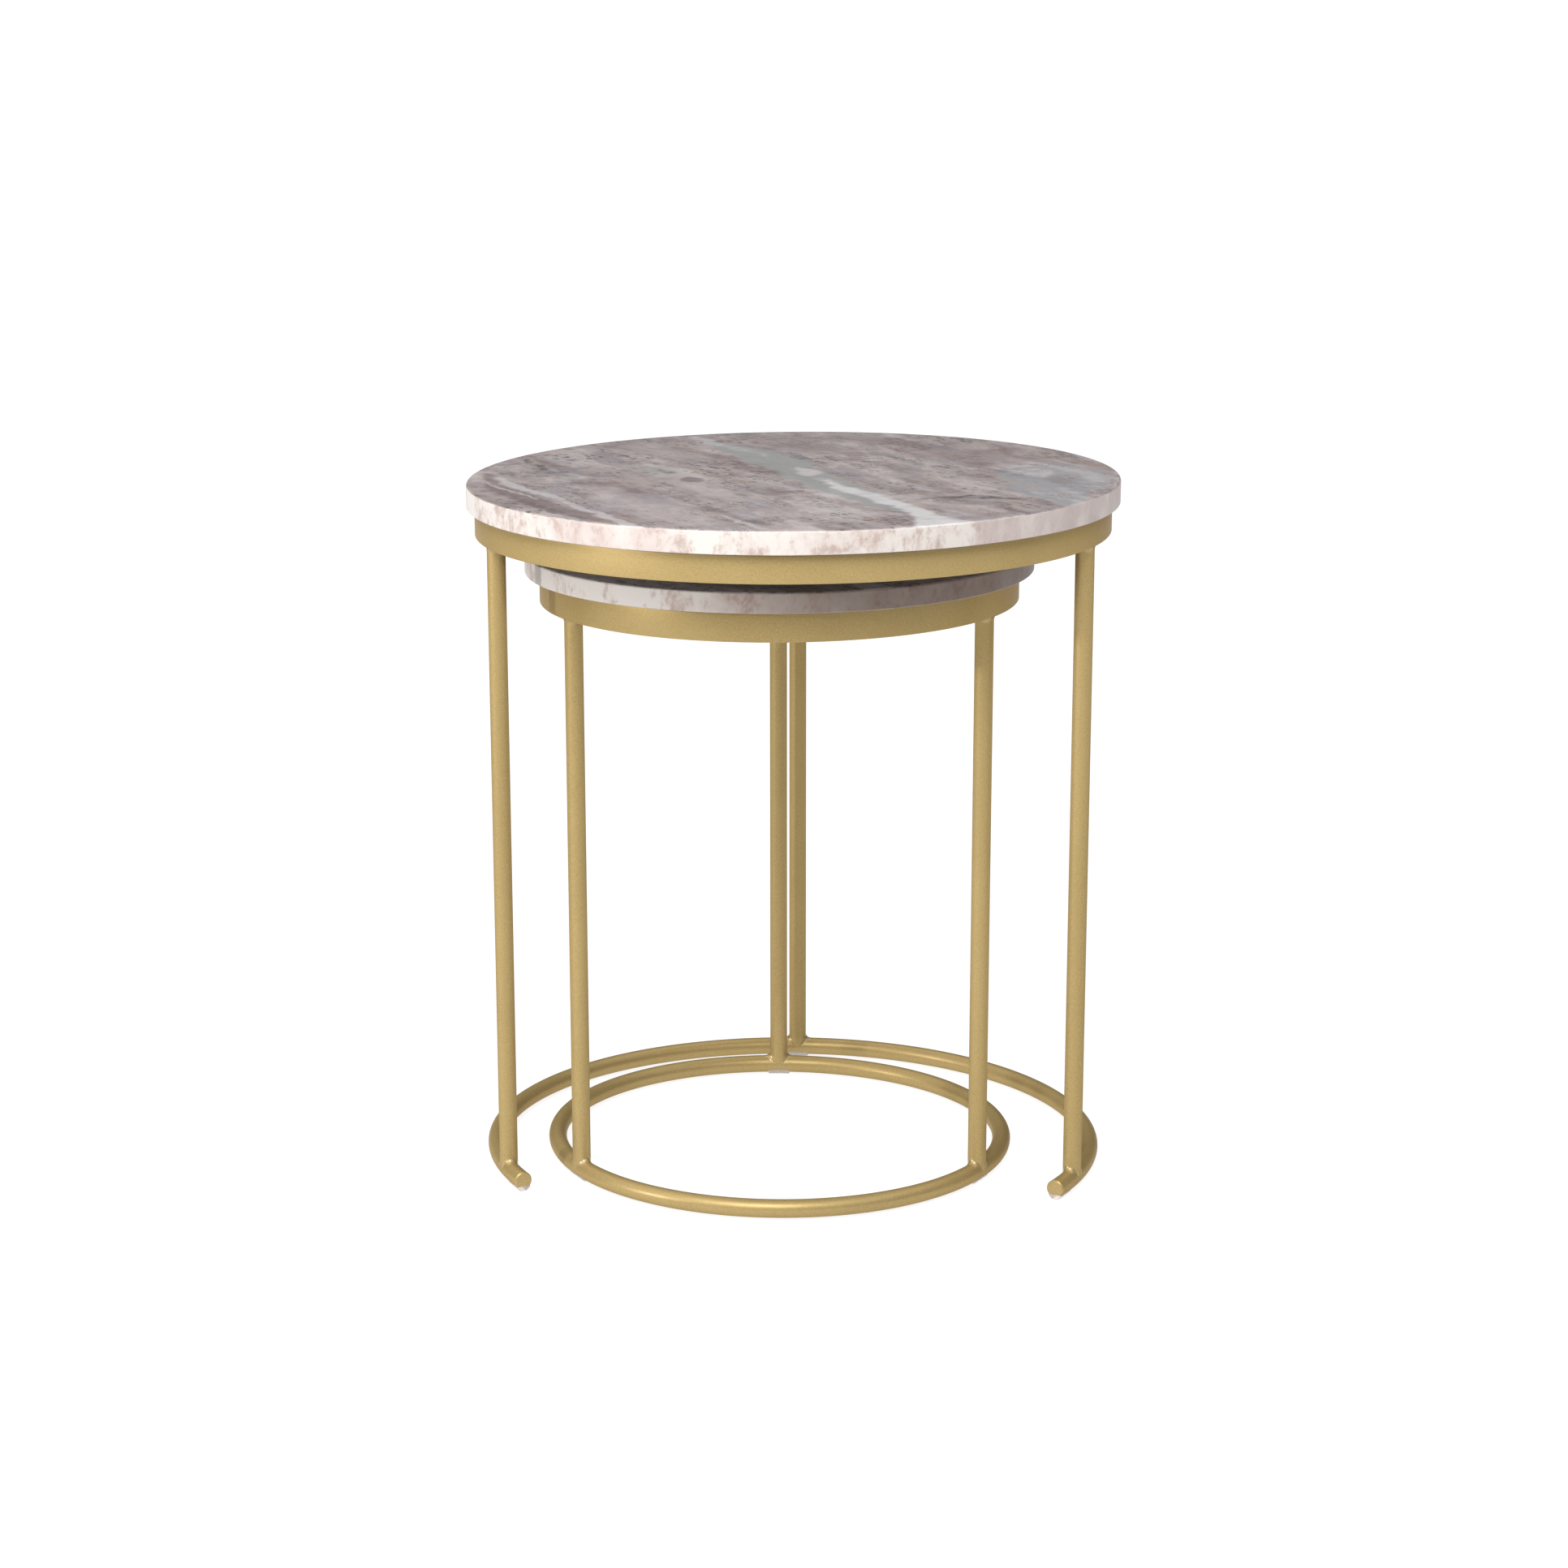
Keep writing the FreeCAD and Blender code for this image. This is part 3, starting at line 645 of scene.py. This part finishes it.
class Table:
    """Where one table's pieces stand, read from its CAD nodes."""

    def __init__(self, name):
        self.name = name
        self.body = name + "_table"
        low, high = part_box(name + "_marble_top")
        self.middle = Vector(((low.x + high.x) / 2, (low.y + high.y) / 2, 0))
        self.top_radius = (high.x - low.x) / 2
        self.stone_under, self.stone_top = low.z, high.z
        low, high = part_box(name + "_apron_ring")
        self.apron_outer = (high.x - low.x) / 2
        self.apron_inner = self.apron_outer - APRON_THICKNESS
        self.apron_bottom, self.apron_top = low.z, high.z
        low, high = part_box(name + "_base_ring")
        self.bar_radius = (high.z - low.z) / 2
        self.ring_z = (high.z + low.z) / 2
        self.bar_circle = self.apron_outer - self.bar_radius
        self.tab_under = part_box(name + "_tab_front")[0].z
        self.leg_angles = self.angles("leg", ("left", "right", "back"))
        self.glide_angles = self.angles("glide", ("left", "right", "back"))
        self.tab_angles = self.angles("tab", ("front", "left", "right"))
        low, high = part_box(name + "_washers")
        self.washer_under = low.z
        foremost = low.y + WASHER_RADIUS - self.middle.y
        self.screw_circle = foremost / math.sin(self.tab_angles["front"])

    def angles(self, kind, sides):
        """The angles (radians from +X) at which CAD nodes stand, from their own points."""
        found = {}
        for side in sides:
            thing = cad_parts[f"{self.name}_{kind}_{side}"]
            points = [thing.matrix_world @ point.co for point in thing.data.vertices]
            centre = sum(points, Vector()) / len(points) - self.middle
            found[side] = math.atan2(centre.y, centre.x)
        return found

    def at(self, radius, angle, z):
        """A point at a radius and an angle (radians from +X) round this table."""
        return self.middle + Vector((radius * math.cos(angle), radius * math.sin(angle), z))

    def beside(self, angle, out, along, z):
        """A point near a leg: out from the middle, along the ring, and up."""
        return self.at(out, angle + along / self.bar_circle, z)


# ---------- the pieces

def marble_top(table, material):
    """Revolved slab with eased edges and three blind holes for the inserts."""
    r = table.top_radius
    low, high = table.stone_under, table.stone_top
    outline = [(share * r, low) for share in reversed(FACE_RINGS)]
    outline += [(r - UNDER_EDGE_ROUND * a, low + UNDER_EDGE_ROUND * b) for a, b in quarter_arc(8)]
    outline += [(r - TOP_EDGE_ROUND * b, high - TOP_EDGE_ROUND * a) for a, b in quarter_arc(8)]
    outline += [(share * r, high) for share in FACE_RINGS]
    work = turned(outline, table.middle, SLAB_STEPS)
    slab = new_piece(table.name + "_stone", mesh_of(work, "stone"))
    holes = [table.at(table.screw_circle, angle, low) for angle in table.tab_angles.values()]
    bored(slab, holes, HOLE_RADIUS, HOLE_DEPTH, HOLE_STEPS)
    finished(slab, table, material, "marble_top")


def bar_section(table, shrink):
    """Points round the bar's section, as (across, up) from its middle."""
    radius = table.bar_radius - shrink
    return [(radius * math.cos(around), radius * math.sin(around)) for around in turns(BAR_STEPS)]


def leg_bar(table, side, material):
    """Round bar standing in the base ring; its top is coped to fit behind the apron."""
    angle = table.leg_angles[side]
    behind = table.apron_inner - table.bar_circle
    top = table.apron_top - LEG_TOP_SETBACK

    def row(z, shrink=0.0, coped=False):
        furthest = (behind if coped else table.bar_radius) - shrink
        return [table.beside(angle, table.bar_circle + min(out, furthest), along, z)
                for out, along in bar_section(table, shrink)]

    foot = table.ring_z
    rows = [row(foot + (table.apron_bottom - foot) * share) for share in LEG_SECTIONS]
    rows.append(row(table.apron_bottom, coped=True))
    for drop, shrink in ((1.0, 0.0), (0.3, 0.3), (0.0, 1.0)):
        rows.append(row(top - drop * LEG_TOP_ROUND, shrink * LEG_TOP_ROUND, True))
    modelled(table, side + "_leg_bar", skin(rows), material, "leg_" + side)


def ring_stretches(table, start, sweep, half):
    """The base bar from its start as round and flattened stretches, in radians."""
    middles = sorted((angle - start) % (2 * math.pi) for angle in table.glide_angles.values())
    reached = 0.0
    stretches = []
    for middle in middles:
        if middle - half > reached + half:
            stretches.append((reached, middle - half, False))
        stretches.append((middle - half, middle + half, True))
        reached = middle + half
    if sweep > reached + half:
        stretches.append((reached, sweep, False))
    return stretches


def base_bar(table, open_front, material):
    """Bar bent to a circle, with flats underneath where the glides are let in."""
    half_glide = GLIDE_LENGTH / 2 / table.bar_circle    # as an angle
    start = table.leg_angles["back"] - math.pi
    sweep = 2 * math.pi
    if open_front:
        start = table.glide_angles["right"] - half_glide
        sweep = (table.glide_angles["left"] - start) % (2 * math.pi) + half_glide

    def row(place, flat, shrink=0.0):
        lowest = GLIDE_FLAT if flat else 0.0
        return [table.at(table.bar_circle + out, start + place, max(table.ring_z + up, lowest))
                for out, up in bar_section(table, shrink)]

    rows = []
    for low, high, flat in ring_stretches(table, start, sweep, half_glide):
        steps = max(2, round((high - low) * ROUND_STEPS / (2 * math.pi)))
        rows += [row(low + (high - low) * step / steps, flat) for step in range(steps + 1)]
    if open_front:
        chamfer = BAR_END_CHAMFER / table.bar_circle
        rows[0] = row(chamfer, True)
        rows[-1] = row(sweep - chamfer, True)
        rows = [row(0, True, BAR_END_CHAMFER)] + rows + [row(sweep, True, BAR_END_CHAMFER)]
    else:
        rows.pop()
    work = skin(rows, endless=not open_front)
    modelled(table, "base_bar", work, material, "base_ring")


def hollow_section(corner_along, corner_z, reach, upright):
    """A hollow fillet between two faces at right angles, as (along, z) points."""
    points = [(corner_along + reach * a, corner_z + upright * reach * b) for a, b in quarter_arc(10)]
    return points + [(corner_along - WELD_BITE, corner_z - upright * WELD_BITE)]


def leg_welds(table, section_at, steps):
    """A bead on both sides of each leg, from a function that gives its section at a share
    of its length, as how far out it lies and its (along, z) points."""
    work = bmesh.new()
    for angle in table.leg_angles.values():
        for hand in (1, -1):
            rows = []
            for step in range(steps + 1):
                out, section = section_at(step / steps)
                rows.append([table.beside(angle, out, hand * along, z) for along, z in section])
            skin(rows, work=work)
    return work


def foot_welds(table, material, wobble):
    """Two smooth hollow beads at each leg's foot, where it stands on the base ring."""
    def section_at(share):
        across = FOOT_WELD_SPAN * (2 * share - 1)
        corner = table.bar_radius * math.sqrt(1 - across ** 2)
        reach = FOOT_WELD * (1 - across ** 4) * (1 + wobble.uniform(*FOOT_WELD_UNEVEN))
        return (table.bar_circle + across * table.bar_radius,
                hollow_section(corner, table.ring_z + corner, reach, 1))

    work = leg_welds(table, section_at, BEAD_STEPS)
    modelled(table, "foot_beads", work, material, "leg_foot_welds")


def top_welds(table, material, wobble):
    """Hollow beads where each leg butts against the apron's lower edge."""
    inner = table.apron_inner + TOP_WELD_INSET[0]
    outer = table.apron_outer - TOP_WELD_INSET[1]

    def section_at(share):
        out = inner + (outer - inner) * share
        off = (out - table.bar_circle) / table.bar_radius
        corner = table.bar_radius * math.sqrt(1 - off ** 2)
        fade = 1 - 0.35 * (2 * share - 1) ** 4
        reach = TOP_WELD * fade * (1 + wobble.uniform(*TOP_WELD_UNEVEN))
        return out, hollow_section(corner, table.apron_bottom, reach, -1)

    work = leg_welds(table, section_at, BEAD_STEPS // 2)
    modelled(table, "top_beads", work, material, "leg_top_welds")


def glide_pad(table, side, material):
    """Clear pad moulded to carry on the bar's round and stand flat on the floor."""
    angle = table.glide_angles[side]
    flat_half = math.sqrt(table.bar_radius ** 2 - (table.ring_z - GLIDE_FLAT) ** 2)
    steps = 12
    rows = []
    for share in (-1, -0.96, -0.5, 0, 0.5, 0.96, 1):
        shrink = GLIDE_END_ROUND if abs(share) == 1 else 0.0
        row = []
        for step in range(steps + 1):
            down = step / steps
            half = flat_half + (GLIDE_FOOT_HALF - flat_half) * down ** 1.6 - shrink
            row.append((half, (GLIDE_FLAT - shrink * 0.4) * (1 - down) + shrink * 0.8 * down))
        outline = row + [(-half, z) for half, z in reversed(row)]
        along = share * GLIDE_LENGTH / 2
        rows.append([table.beside(angle, table.bar_circle + out, along, z) for out, z in outline])
    modelled(table, side + "_glide_pad", skin(rows), material, "glide_" + side)


# ---------- pieces grown by geometry nodes

class Recipe(Tree):
    """A geometry tree with named sizes, run on one object and then applied."""

    def __init__(self, name):
        self.group = bpy.data.node_groups.new(name, "GeometryNodeTree")
        super().__init__(self.group)
        self.sizes = {}
        self.group.interface.new_socket("Geometry", in_out="INPUT", socket_type="NodeSocketGeometry")
        self.group.interface.new_socket("Geometry", in_out="OUTPUT", socket_type="NodeSocketGeometry")
        self.start = self.tree.nodes.new("NodeGroupInput")

    def all_sizes(self, *names):
        """The tree's named inputs."""
        for name in names:
            socket = self.group.interface.new_socket(name, in_out="INPUT",
                                                     socket_type="NodeSocketFloat")
            self.sizes[name] = socket.identifier
        return [Wire(self, self.start.outputs[name]) for name in names]

    def shape(self):
        return Wire(self, self.start.outputs["Geometry"])

    def point(self, x=0.0, y=0.0, z=0.0):
        return self.node("ShaderNodeCombineXYZ", None, {0: x, 1: y, 2: z})

    def ends_in(self, geometry, material):
        real = self.node("GeometryNodeRealizeInstances", None, {0: geometry})
        painted = self.node("GeometryNodeSetMaterial", None, {0: real, "Material": material})
        end = self.tree.nodes.new("NodeGroupOutput")
        self.feed(end.inputs["Geometry"], painted)

    def run(self, piece, **values):
        """Runs the tree on a piece with these sizes and keeps the result as a mesh."""
        step = piece.modifiers.new("recipe", "NODES")
        step.node_group = self.group
        for name, value in values.items():
            step[self.sizes[name.replace("_", " ")]] = value
        return plain_mesh(piece)


def three_round_recipe(name, material):
    """Copies one piece of hardware to the three tabs, each turned at random."""
    recipe = Recipe(name)
    circle, front, apart, centre_x, centre_y = recipe.all_sizes(
        "circle", "front", "apart", "centre x", "centre y")
    index = recipe.node("GeometryNodeInputIndex")
    angle = front + (index - 1.0) * apart
    x = centre_x + circle * angle.maths("COSINE", angle)
    y = centre_y + circle * angle.maths("SINE", angle)
    spots = recipe.node("GeometryNodePoints", None, {"Count": 3, "Position": recipe.point(x, y)})
    loose = recipe.node("FunctionNodeRandomValue", {"data_type": "FLOAT"},
                        {2: -math.pi, 3: math.pi, "ID": index, "Seed": LOOSE_SEED}, take=1)
    swung = recipe.point(0.0, 0.0, angle + loose)
    copies = recipe.node("GeometryNodeInstanceOnPoints", None,
                         {"Points": spots, "Instance": recipe.shape(), "Rotation": swung})
    recipe.ends_in(copies, material)
    return recipe


def rolled_ring_recipe(name, material):
    """Flat bar with eased edges, swept into a ring."""
    recipe = Recipe(name)
    radius, thickness, height, ease = recipe.all_sizes("radius", "thickness", "height", "ease")
    circle = recipe.node("GeometryNodeCurvePrimitiveCircle", {"mode": "RADIUS"},
                         {"Resolution": ROUND_STEPS, "Radius": radius})
    flat_bar = recipe.node("GeometryNodeCurvePrimitiveQuadrilateral", {"mode": "RECTANGLE"},
                           {"Width": thickness, "Height": height})
    section = recipe.node("GeometryNodeFilletCurve", {"mode": "POLY"},
                          {"Curve": flat_bar, "Count": 4, "Radius": ease})
    ring = recipe.node("GeometryNodeCurveToMesh", None, {"Curve": circle, "Profile Curve": section})
    recipe.ends_in(ring, material)
    return recipe


def rippled_bead_recipe(name, material):
    """A weld bead laid along a path, with even ripples and a little unevenness."""
    recipe = Recipe(name)
    radius, pitch = recipe.all_sizes("radius", "pitch")
    path = recipe.node("GeometryNodeMeshToCurve", None, {"Mesh": recipe.shape()})
    fine = recipe.node("GeometryNodeResampleCurve", {"mode": "LENGTH"},
                       {"Curve": path, "Length": pitch / 6.0})
    along = recipe.node("GeometryNodeSplineParameter", take=1)
    share = recipe.node("GeometryNodeSplineParameter", take=0)
    ripple = along.maths("SINE", along / pitch * (2 * math.pi))
    uneven = recipe.node("ShaderNodeTexNoise", {"noise_dimensions": "4D"},
                         {"W": UNEVEN_SEED, "Scale": 300.0, "Detail": 2.0})
    ends = (share * 12.0).least((1.0 - share) * 12.0).least(1.0)
    width = radius * (ripple * 0.07 + 0.93 + (uneven - 0.5) * 0.25) * (ends * 0.45 + 0.55)
    thick = recipe.node("GeometryNodeSetCurveRadius", None, {"Curve": fine, "Radius": width})
    round_bar = recipe.node("GeometryNodeCurvePrimitiveCircle", {"mode": "RADIUS"},
                            {"Resolution": 14, "Radius": 1.0})
    bead = recipe.node("GeometryNodeCurveToMesh", None,
                       {"Curve": thick, "Profile Curve": round_bar, "Scale": width, "Fill Caps": True})
    recipe.ends_in(bead, material)
    return recipe


def apron(table, recipe, material):
    """The rolled flat bar, brought to its height on its own table."""
    piece = new_piece(table.name + "_apron_band", bpy.data.meshes.new("apron"))
    recipe.run(piece, radius=(table.apron_outer + table.apron_inner) / 2, thickness=APRON_THICKNESS,
               height=table.apron_top - table.apron_bottom, ease=APRON_EDGE_ROUND)
    rise = (table.apron_top + table.apron_bottom) / 2
    piece.data.transform(Matrix.Translation(table.middle + Vector((0, 0, rise))))
    remade(piece, "apron")
    finished(piece, table, material, "apron_ring")


def flat_ring(outer, inner, low, high, ease):
    """A washer or a soft ring, its four edges eased."""
    section = []
    for r, z, sign_r, sign_z in ((outer, low, 1, -1), (outer, high, 1, 1),
                                 (inner, high, -1, 1), (inner, low, -1, -1)):
        ways = [(0, sign_z), (sign_r, 0)] if sign_r * sign_z < 0 else [(sign_r, 0), (0, sign_z)]
        for way_r, way_z in ways:
            section.append((r - ease * (sign_r - way_r), z - ease * (sign_z - way_z)))
    return mesh_of(turned(section + section[:1], Vector(), BAR_STEPS), "flat_ring")


def insert_shape(table):
    """Brass sleeve with rings turned in its outside, to hold the glue."""
    low, high = table.stone_under, table.stone_under + SLEEVE_LENGTH
    rim = SLEEVE_RADIUS - SLEEVE_END_ROUND
    groove = [(0.0, 0.0), (0.35 * MM, GROOVE_DEPTH), (0.75 * MM, GROOVE_DEPTH), (1.1 * MM, 0.0)]
    outline = [(SLEEVE_BORE, low), (rim, low), (SLEEVE_RADIUS, low + SLEEVE_END_ROUND)]
    for count in range(GROOVES):
        z = low + GROOVE_START + GROOVE_PITCH * count
        outline += [(SLEEVE_RADIUS - depth, z + up) for up, depth in groove]
    outline += [(rim, high), (SLEEVE_BORE, high), (SLEEVE_BORE, low)]
    return mesh_of(turned(outline, Vector(), SLEEVE_STEPS), "insert")


def screw_shape(table):
    """Button head with a hex socket, and a threaded shank up into the insert."""
    seat = table.washer_under
    tip = table.stone_under + SCREW_REACH
    root = SCREW_RADIUS * THREAD_ROOT
    # The head from its middle to its seat, as shares of its radius and height
    crown = [(0.0, 1.0), (0.50, 1.0), (0.62, 0.96), (0.78, 0.82), (0.90, 0.60), (0.97, 0.34),
             (1.0, 0.12), (1.0, 0.0)]
    thread = [(0.0, root), (0.4, SCREW_RADIUS), (0.5, SCREW_RADIUS), (0.9, root)]
    outline = [(SCREW_HEAD_RADIUS * r, seat - SCREW_HEAD_HEIGHT * h) for r, h in crown]
    outline.append((root, seat))
    for turn in range(int((tip - seat - 1.5 * THREAD_PITCH) / THREAD_PITCH)):
        outline += [(r, seat + (0.5 + turn + up) * THREAD_PITCH) for up, r in thread]
    outline += [(SCREW_RADIUS * 0.7, tip), (0.0, tip)]
    screw = new_piece("one_screw", mesh_of(turned(outline, Vector(), BAR_STEPS), "screw"))
    bored(screw, [(0, 0, seat - SCREW_HEAD_HEIGHT)], SCREW_SOCKET_RADIUS, SCREW_SOCKET_DEPTH, 6)
    shape = screw.data
    bpy.data.objects.remove(screw)
    return shape


def hardware(table, piece_name, shape, material, node):
    """One modelled piece, copied to the three tabs of its table."""
    piece = new_piece(f"{table.name}_{piece_name}", shape)
    front = table.tab_angles["front"]
    apart = (table.tab_angles["right"] - front) % (2 * math.pi)
    recipe = three_round_recipe(piece.name, material)
    recipe.run(piece, circle=table.screw_circle, front=front, apart=apart,
               centre_x=table.middle.x, centre_y=table.middle.y)
    remade(piece, piece_name)
    finished(piece, table, material, node)


def tab_beads(table, recipe, material):
    """The rippled bead under each tab, where it meets the apron."""
    half = TAB_WELD_HALF / table.apron_inner    # as an angle
    radius, z = table.apron_inner - TAB_WELD_CORNER, table.tab_under - TAB_WELD_CORNER
    points, edges = [], []
    for angle in table.tab_angles.values():
        for step in range(BEAD_STEPS + 1):
            if step:
                edges.append((len(points) - 1, len(points)))
            points.append(table.at(radius, angle - half + 2 * half * step / BEAD_STEPS, z))
    path = bpy.data.meshes.new("tab_paths")
    path.from_pydata(points, edges, [])
    piece = new_piece(table.name + "_tab_beads", path)
    recipe.run(piece, radius=TAB_WELD, pitch=TAB_WELD_RIPPLE)
    remade(piece, "tab_beads")
    finished(piece, table, material, "tab_welds")


def mounting_tabs(table, material):
    """Each tab plate with its edges broken, from the CAD plate."""
    for side in table.tab_angles:
        work = bmesh.new()
        work.from_mesh(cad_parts[f"{table.name}_tab_{side}"].data)
        bmesh.ops.remove_doubles(work, verts=work.verts, dist=DOUBLE)
        bmesh.ops.dissolve_limit(work, angle_limit=math.radians(1), verts=work.verts, edges=work.edges)
        keen = [e for e in work.edges if e.is_manifold and e.calc_face_angle(0) > math.radians(60)]
        bmesh.ops.bevel(work, geom=keen, offset=TAB_EDGE_ROUND, segments=2, profile=0.5, affect="EDGES")
        modelled(table, side + "_tab_plate", work, material, "tab_" + side)


# ---------- studio and view

def lamp(name, kind, energy, **settings):
    light = bpy.data.lights.new(name, kind)
    light.energy = energy
    for setting, value in settings.items():
        setattr(light, setting, value)
    return new_piece(name, light)


def soft_box(name, place, target, width, energy):
    """A round soft box turned towards its target."""
    box = lamp(name, "AREA", energy, shape="DISK", size=width)
    box.location = place
    box.rotation_euler = (Vector(target) - Vector(place)).to_track_quat("-Z", "Y").to_euler()


ROOM_LIGHT = 0.05
OVERHEAD_LIGHT = 2.65
OVERHEAD_SPREAD = 110       # degrees of ceiling that the light comes from
HIGH_FRONT_LIGHT = 68.0
LOW_LEFT_LIGHT = 26.0
FLOOR_GLOW = 0.86
FLOOR_REACH = 60            # metres from the middle to the floor's edge


def studio():
    """A glowing white sheet for a floor, a dim room, and three soft lamps."""
    world = bpy.data.worlds.new("room")
    world.use_nodes = True
    room = world.node_tree.nodes["Background"]
    room.inputs["Color"].default_value = (1.0, 1.0, 1.0, 1.0)
    room.inputs["Strength"].default_value = ROOM_LIGHT
    bpy.context.scene.world = world
    overhead = lamp("overhead", "SUN", OVERHEAD_LIGHT, angle=math.radians(OVERHEAD_SPREAD))
    overhead.rotation_euler = (math.radians(12), 0, math.radians(-20))
    soft_box("high_front_box", (-0.40, -2.30, 2.60), (0, 0, 0.4), 1.8, HIGH_FRONT_LIGHT)
    soft_box("low_left_box", (-2.42, -1.32, 0.90), (0, 0, 0.42), 0.14, LOW_LEFT_LIGHT)
    sheet = Finish("floor_sheet")
    tone = sheet.noise(sheet.place, 3.0)
    white = sheet.mix(tone, (0.22, 0.22, 0.22, 1), (0.20, 0.20, 0.20, 1))
    material = sheet.surface(Base_Color=white, Roughness=0.9, Specular_IOR_Level=0.1,
                             Emission_Color=(1.0, 1.0, 1.0, 1.0), Emission_Strength=FLOOR_GLOW)
    work = bmesh.new()
    bmesh.ops.create_grid(work, x_segments=8, y_segments=8, size=FLOOR_REACH)
    floor = new_piece("floor", mesh_of(work, "floor"))
    floor.data.materials.append(material)


EYE = (0.0597, -2.4442, 0.8561)
LOOK_TURN, LOOK_TIP, LOOK_ROLL = 6.14, 75.26, -1.20     # degrees


def camera():
    """A long lens in front of the tables, a little above them."""
    lens = bpy.data.cameras.new("view")
    lens.lens = 82.35
    lens.sensor_width = 36
    lens.shift_x = 0.179
    lens.shift_y = 0.049
    lens.clip_end = 2 * FLOOR_REACH
    eye = new_piece("camera", lens)
    turn = Matrix.Rotation(math.radians(LOOK_TURN), 4, "Z")
    tip = Matrix.Rotation(math.radians(LOOK_TIP), 4, "X")
    roll = Matrix.Rotation(math.radians(LOOK_ROLL), 4, "Z")
    eye.matrix_world = Matrix.Translation(EYE) @ turn @ tip @ roll
    bpy.context.scene.camera = eye


def build():
    """Both tables, every piece with its finish."""
    large, small = Table("large"), Table("small")
    gold_tones = linear(171, 147, 98), linear(158, 134, 86), linear(199, 179, 129)
    gold = powder_coat("champagne_gold_coat", *gold_tones, 0.04)
    gold_on_welds = powder_coat("champagne_gold_on_welds", *gold_tones, 0.80)
    clear = clear_pad("clear_pad")
    zinc = bright_metal("zinc_plate", linear(205, 208, 212), linear(168, 172, 178),
                        linear(235, 236, 238), 0.22)
    brass = bright_metal("turned_brass", linear(212, 172, 92), linear(176, 134, 62),
                         linear(240, 208, 140), 0.20)
    stones = {
        "large": polished_stone("large_marble", -62, (0.31, 0.17, 0.0), LARGE_VEINS,
                                LARGE_EDGE_TONES, large.stone_under),
        "small": polished_stone("small_marble", -58, (1.43, 2.21, 0.4), SMALL_VEINS,
                                SMALL_EDGE_TONES_AND_SHADE, small.stone_under),
    }
    band = rolled_ring_recipe("rolled_apron", gold)
    beads = rippled_bead_recipe("tab_bead", gold)
    wobble = random.Random(WOBBLE_SEED)
    for table in (large, small):
        marble_top(table, stones[table.name])
        apron(table, band, gold)
        base_bar(table, table is large, gold)
        for side in table.leg_angles:
            leg_bar(table, side, gold)
            glide_pad(table, side, clear)
        foot_welds(table, gold_on_welds, wobble)
        top_welds(table, gold_on_welds, wobble)
        mounting_tabs(table, gold)
        tab_beads(table, beads, gold)
        washer = flat_ring(WASHER_RADIUS, WASHER_BORE, table.washer_under, table.tab_under,
                           WASHER_ROUND)
        soft = flat_ring(SOFT_RADIUS, SOFT_BORE, table.apron_top, table.stone_under, SOFT_ROUND)
        hardware(table, "button_screws", screw_shape(table), zinc, "screws")
        hardware(table, "flat_washers", washer, zinc, "washers")
        hardware(table, "clear_rings", soft, clear, "soft_rings")
        hardware(table, "brass_sleeves", insert_shape(table), brass, "threaded_inserts")


build()
studio()
camera()
bpy.context.scene.view_settings.view_transform = "Standard"
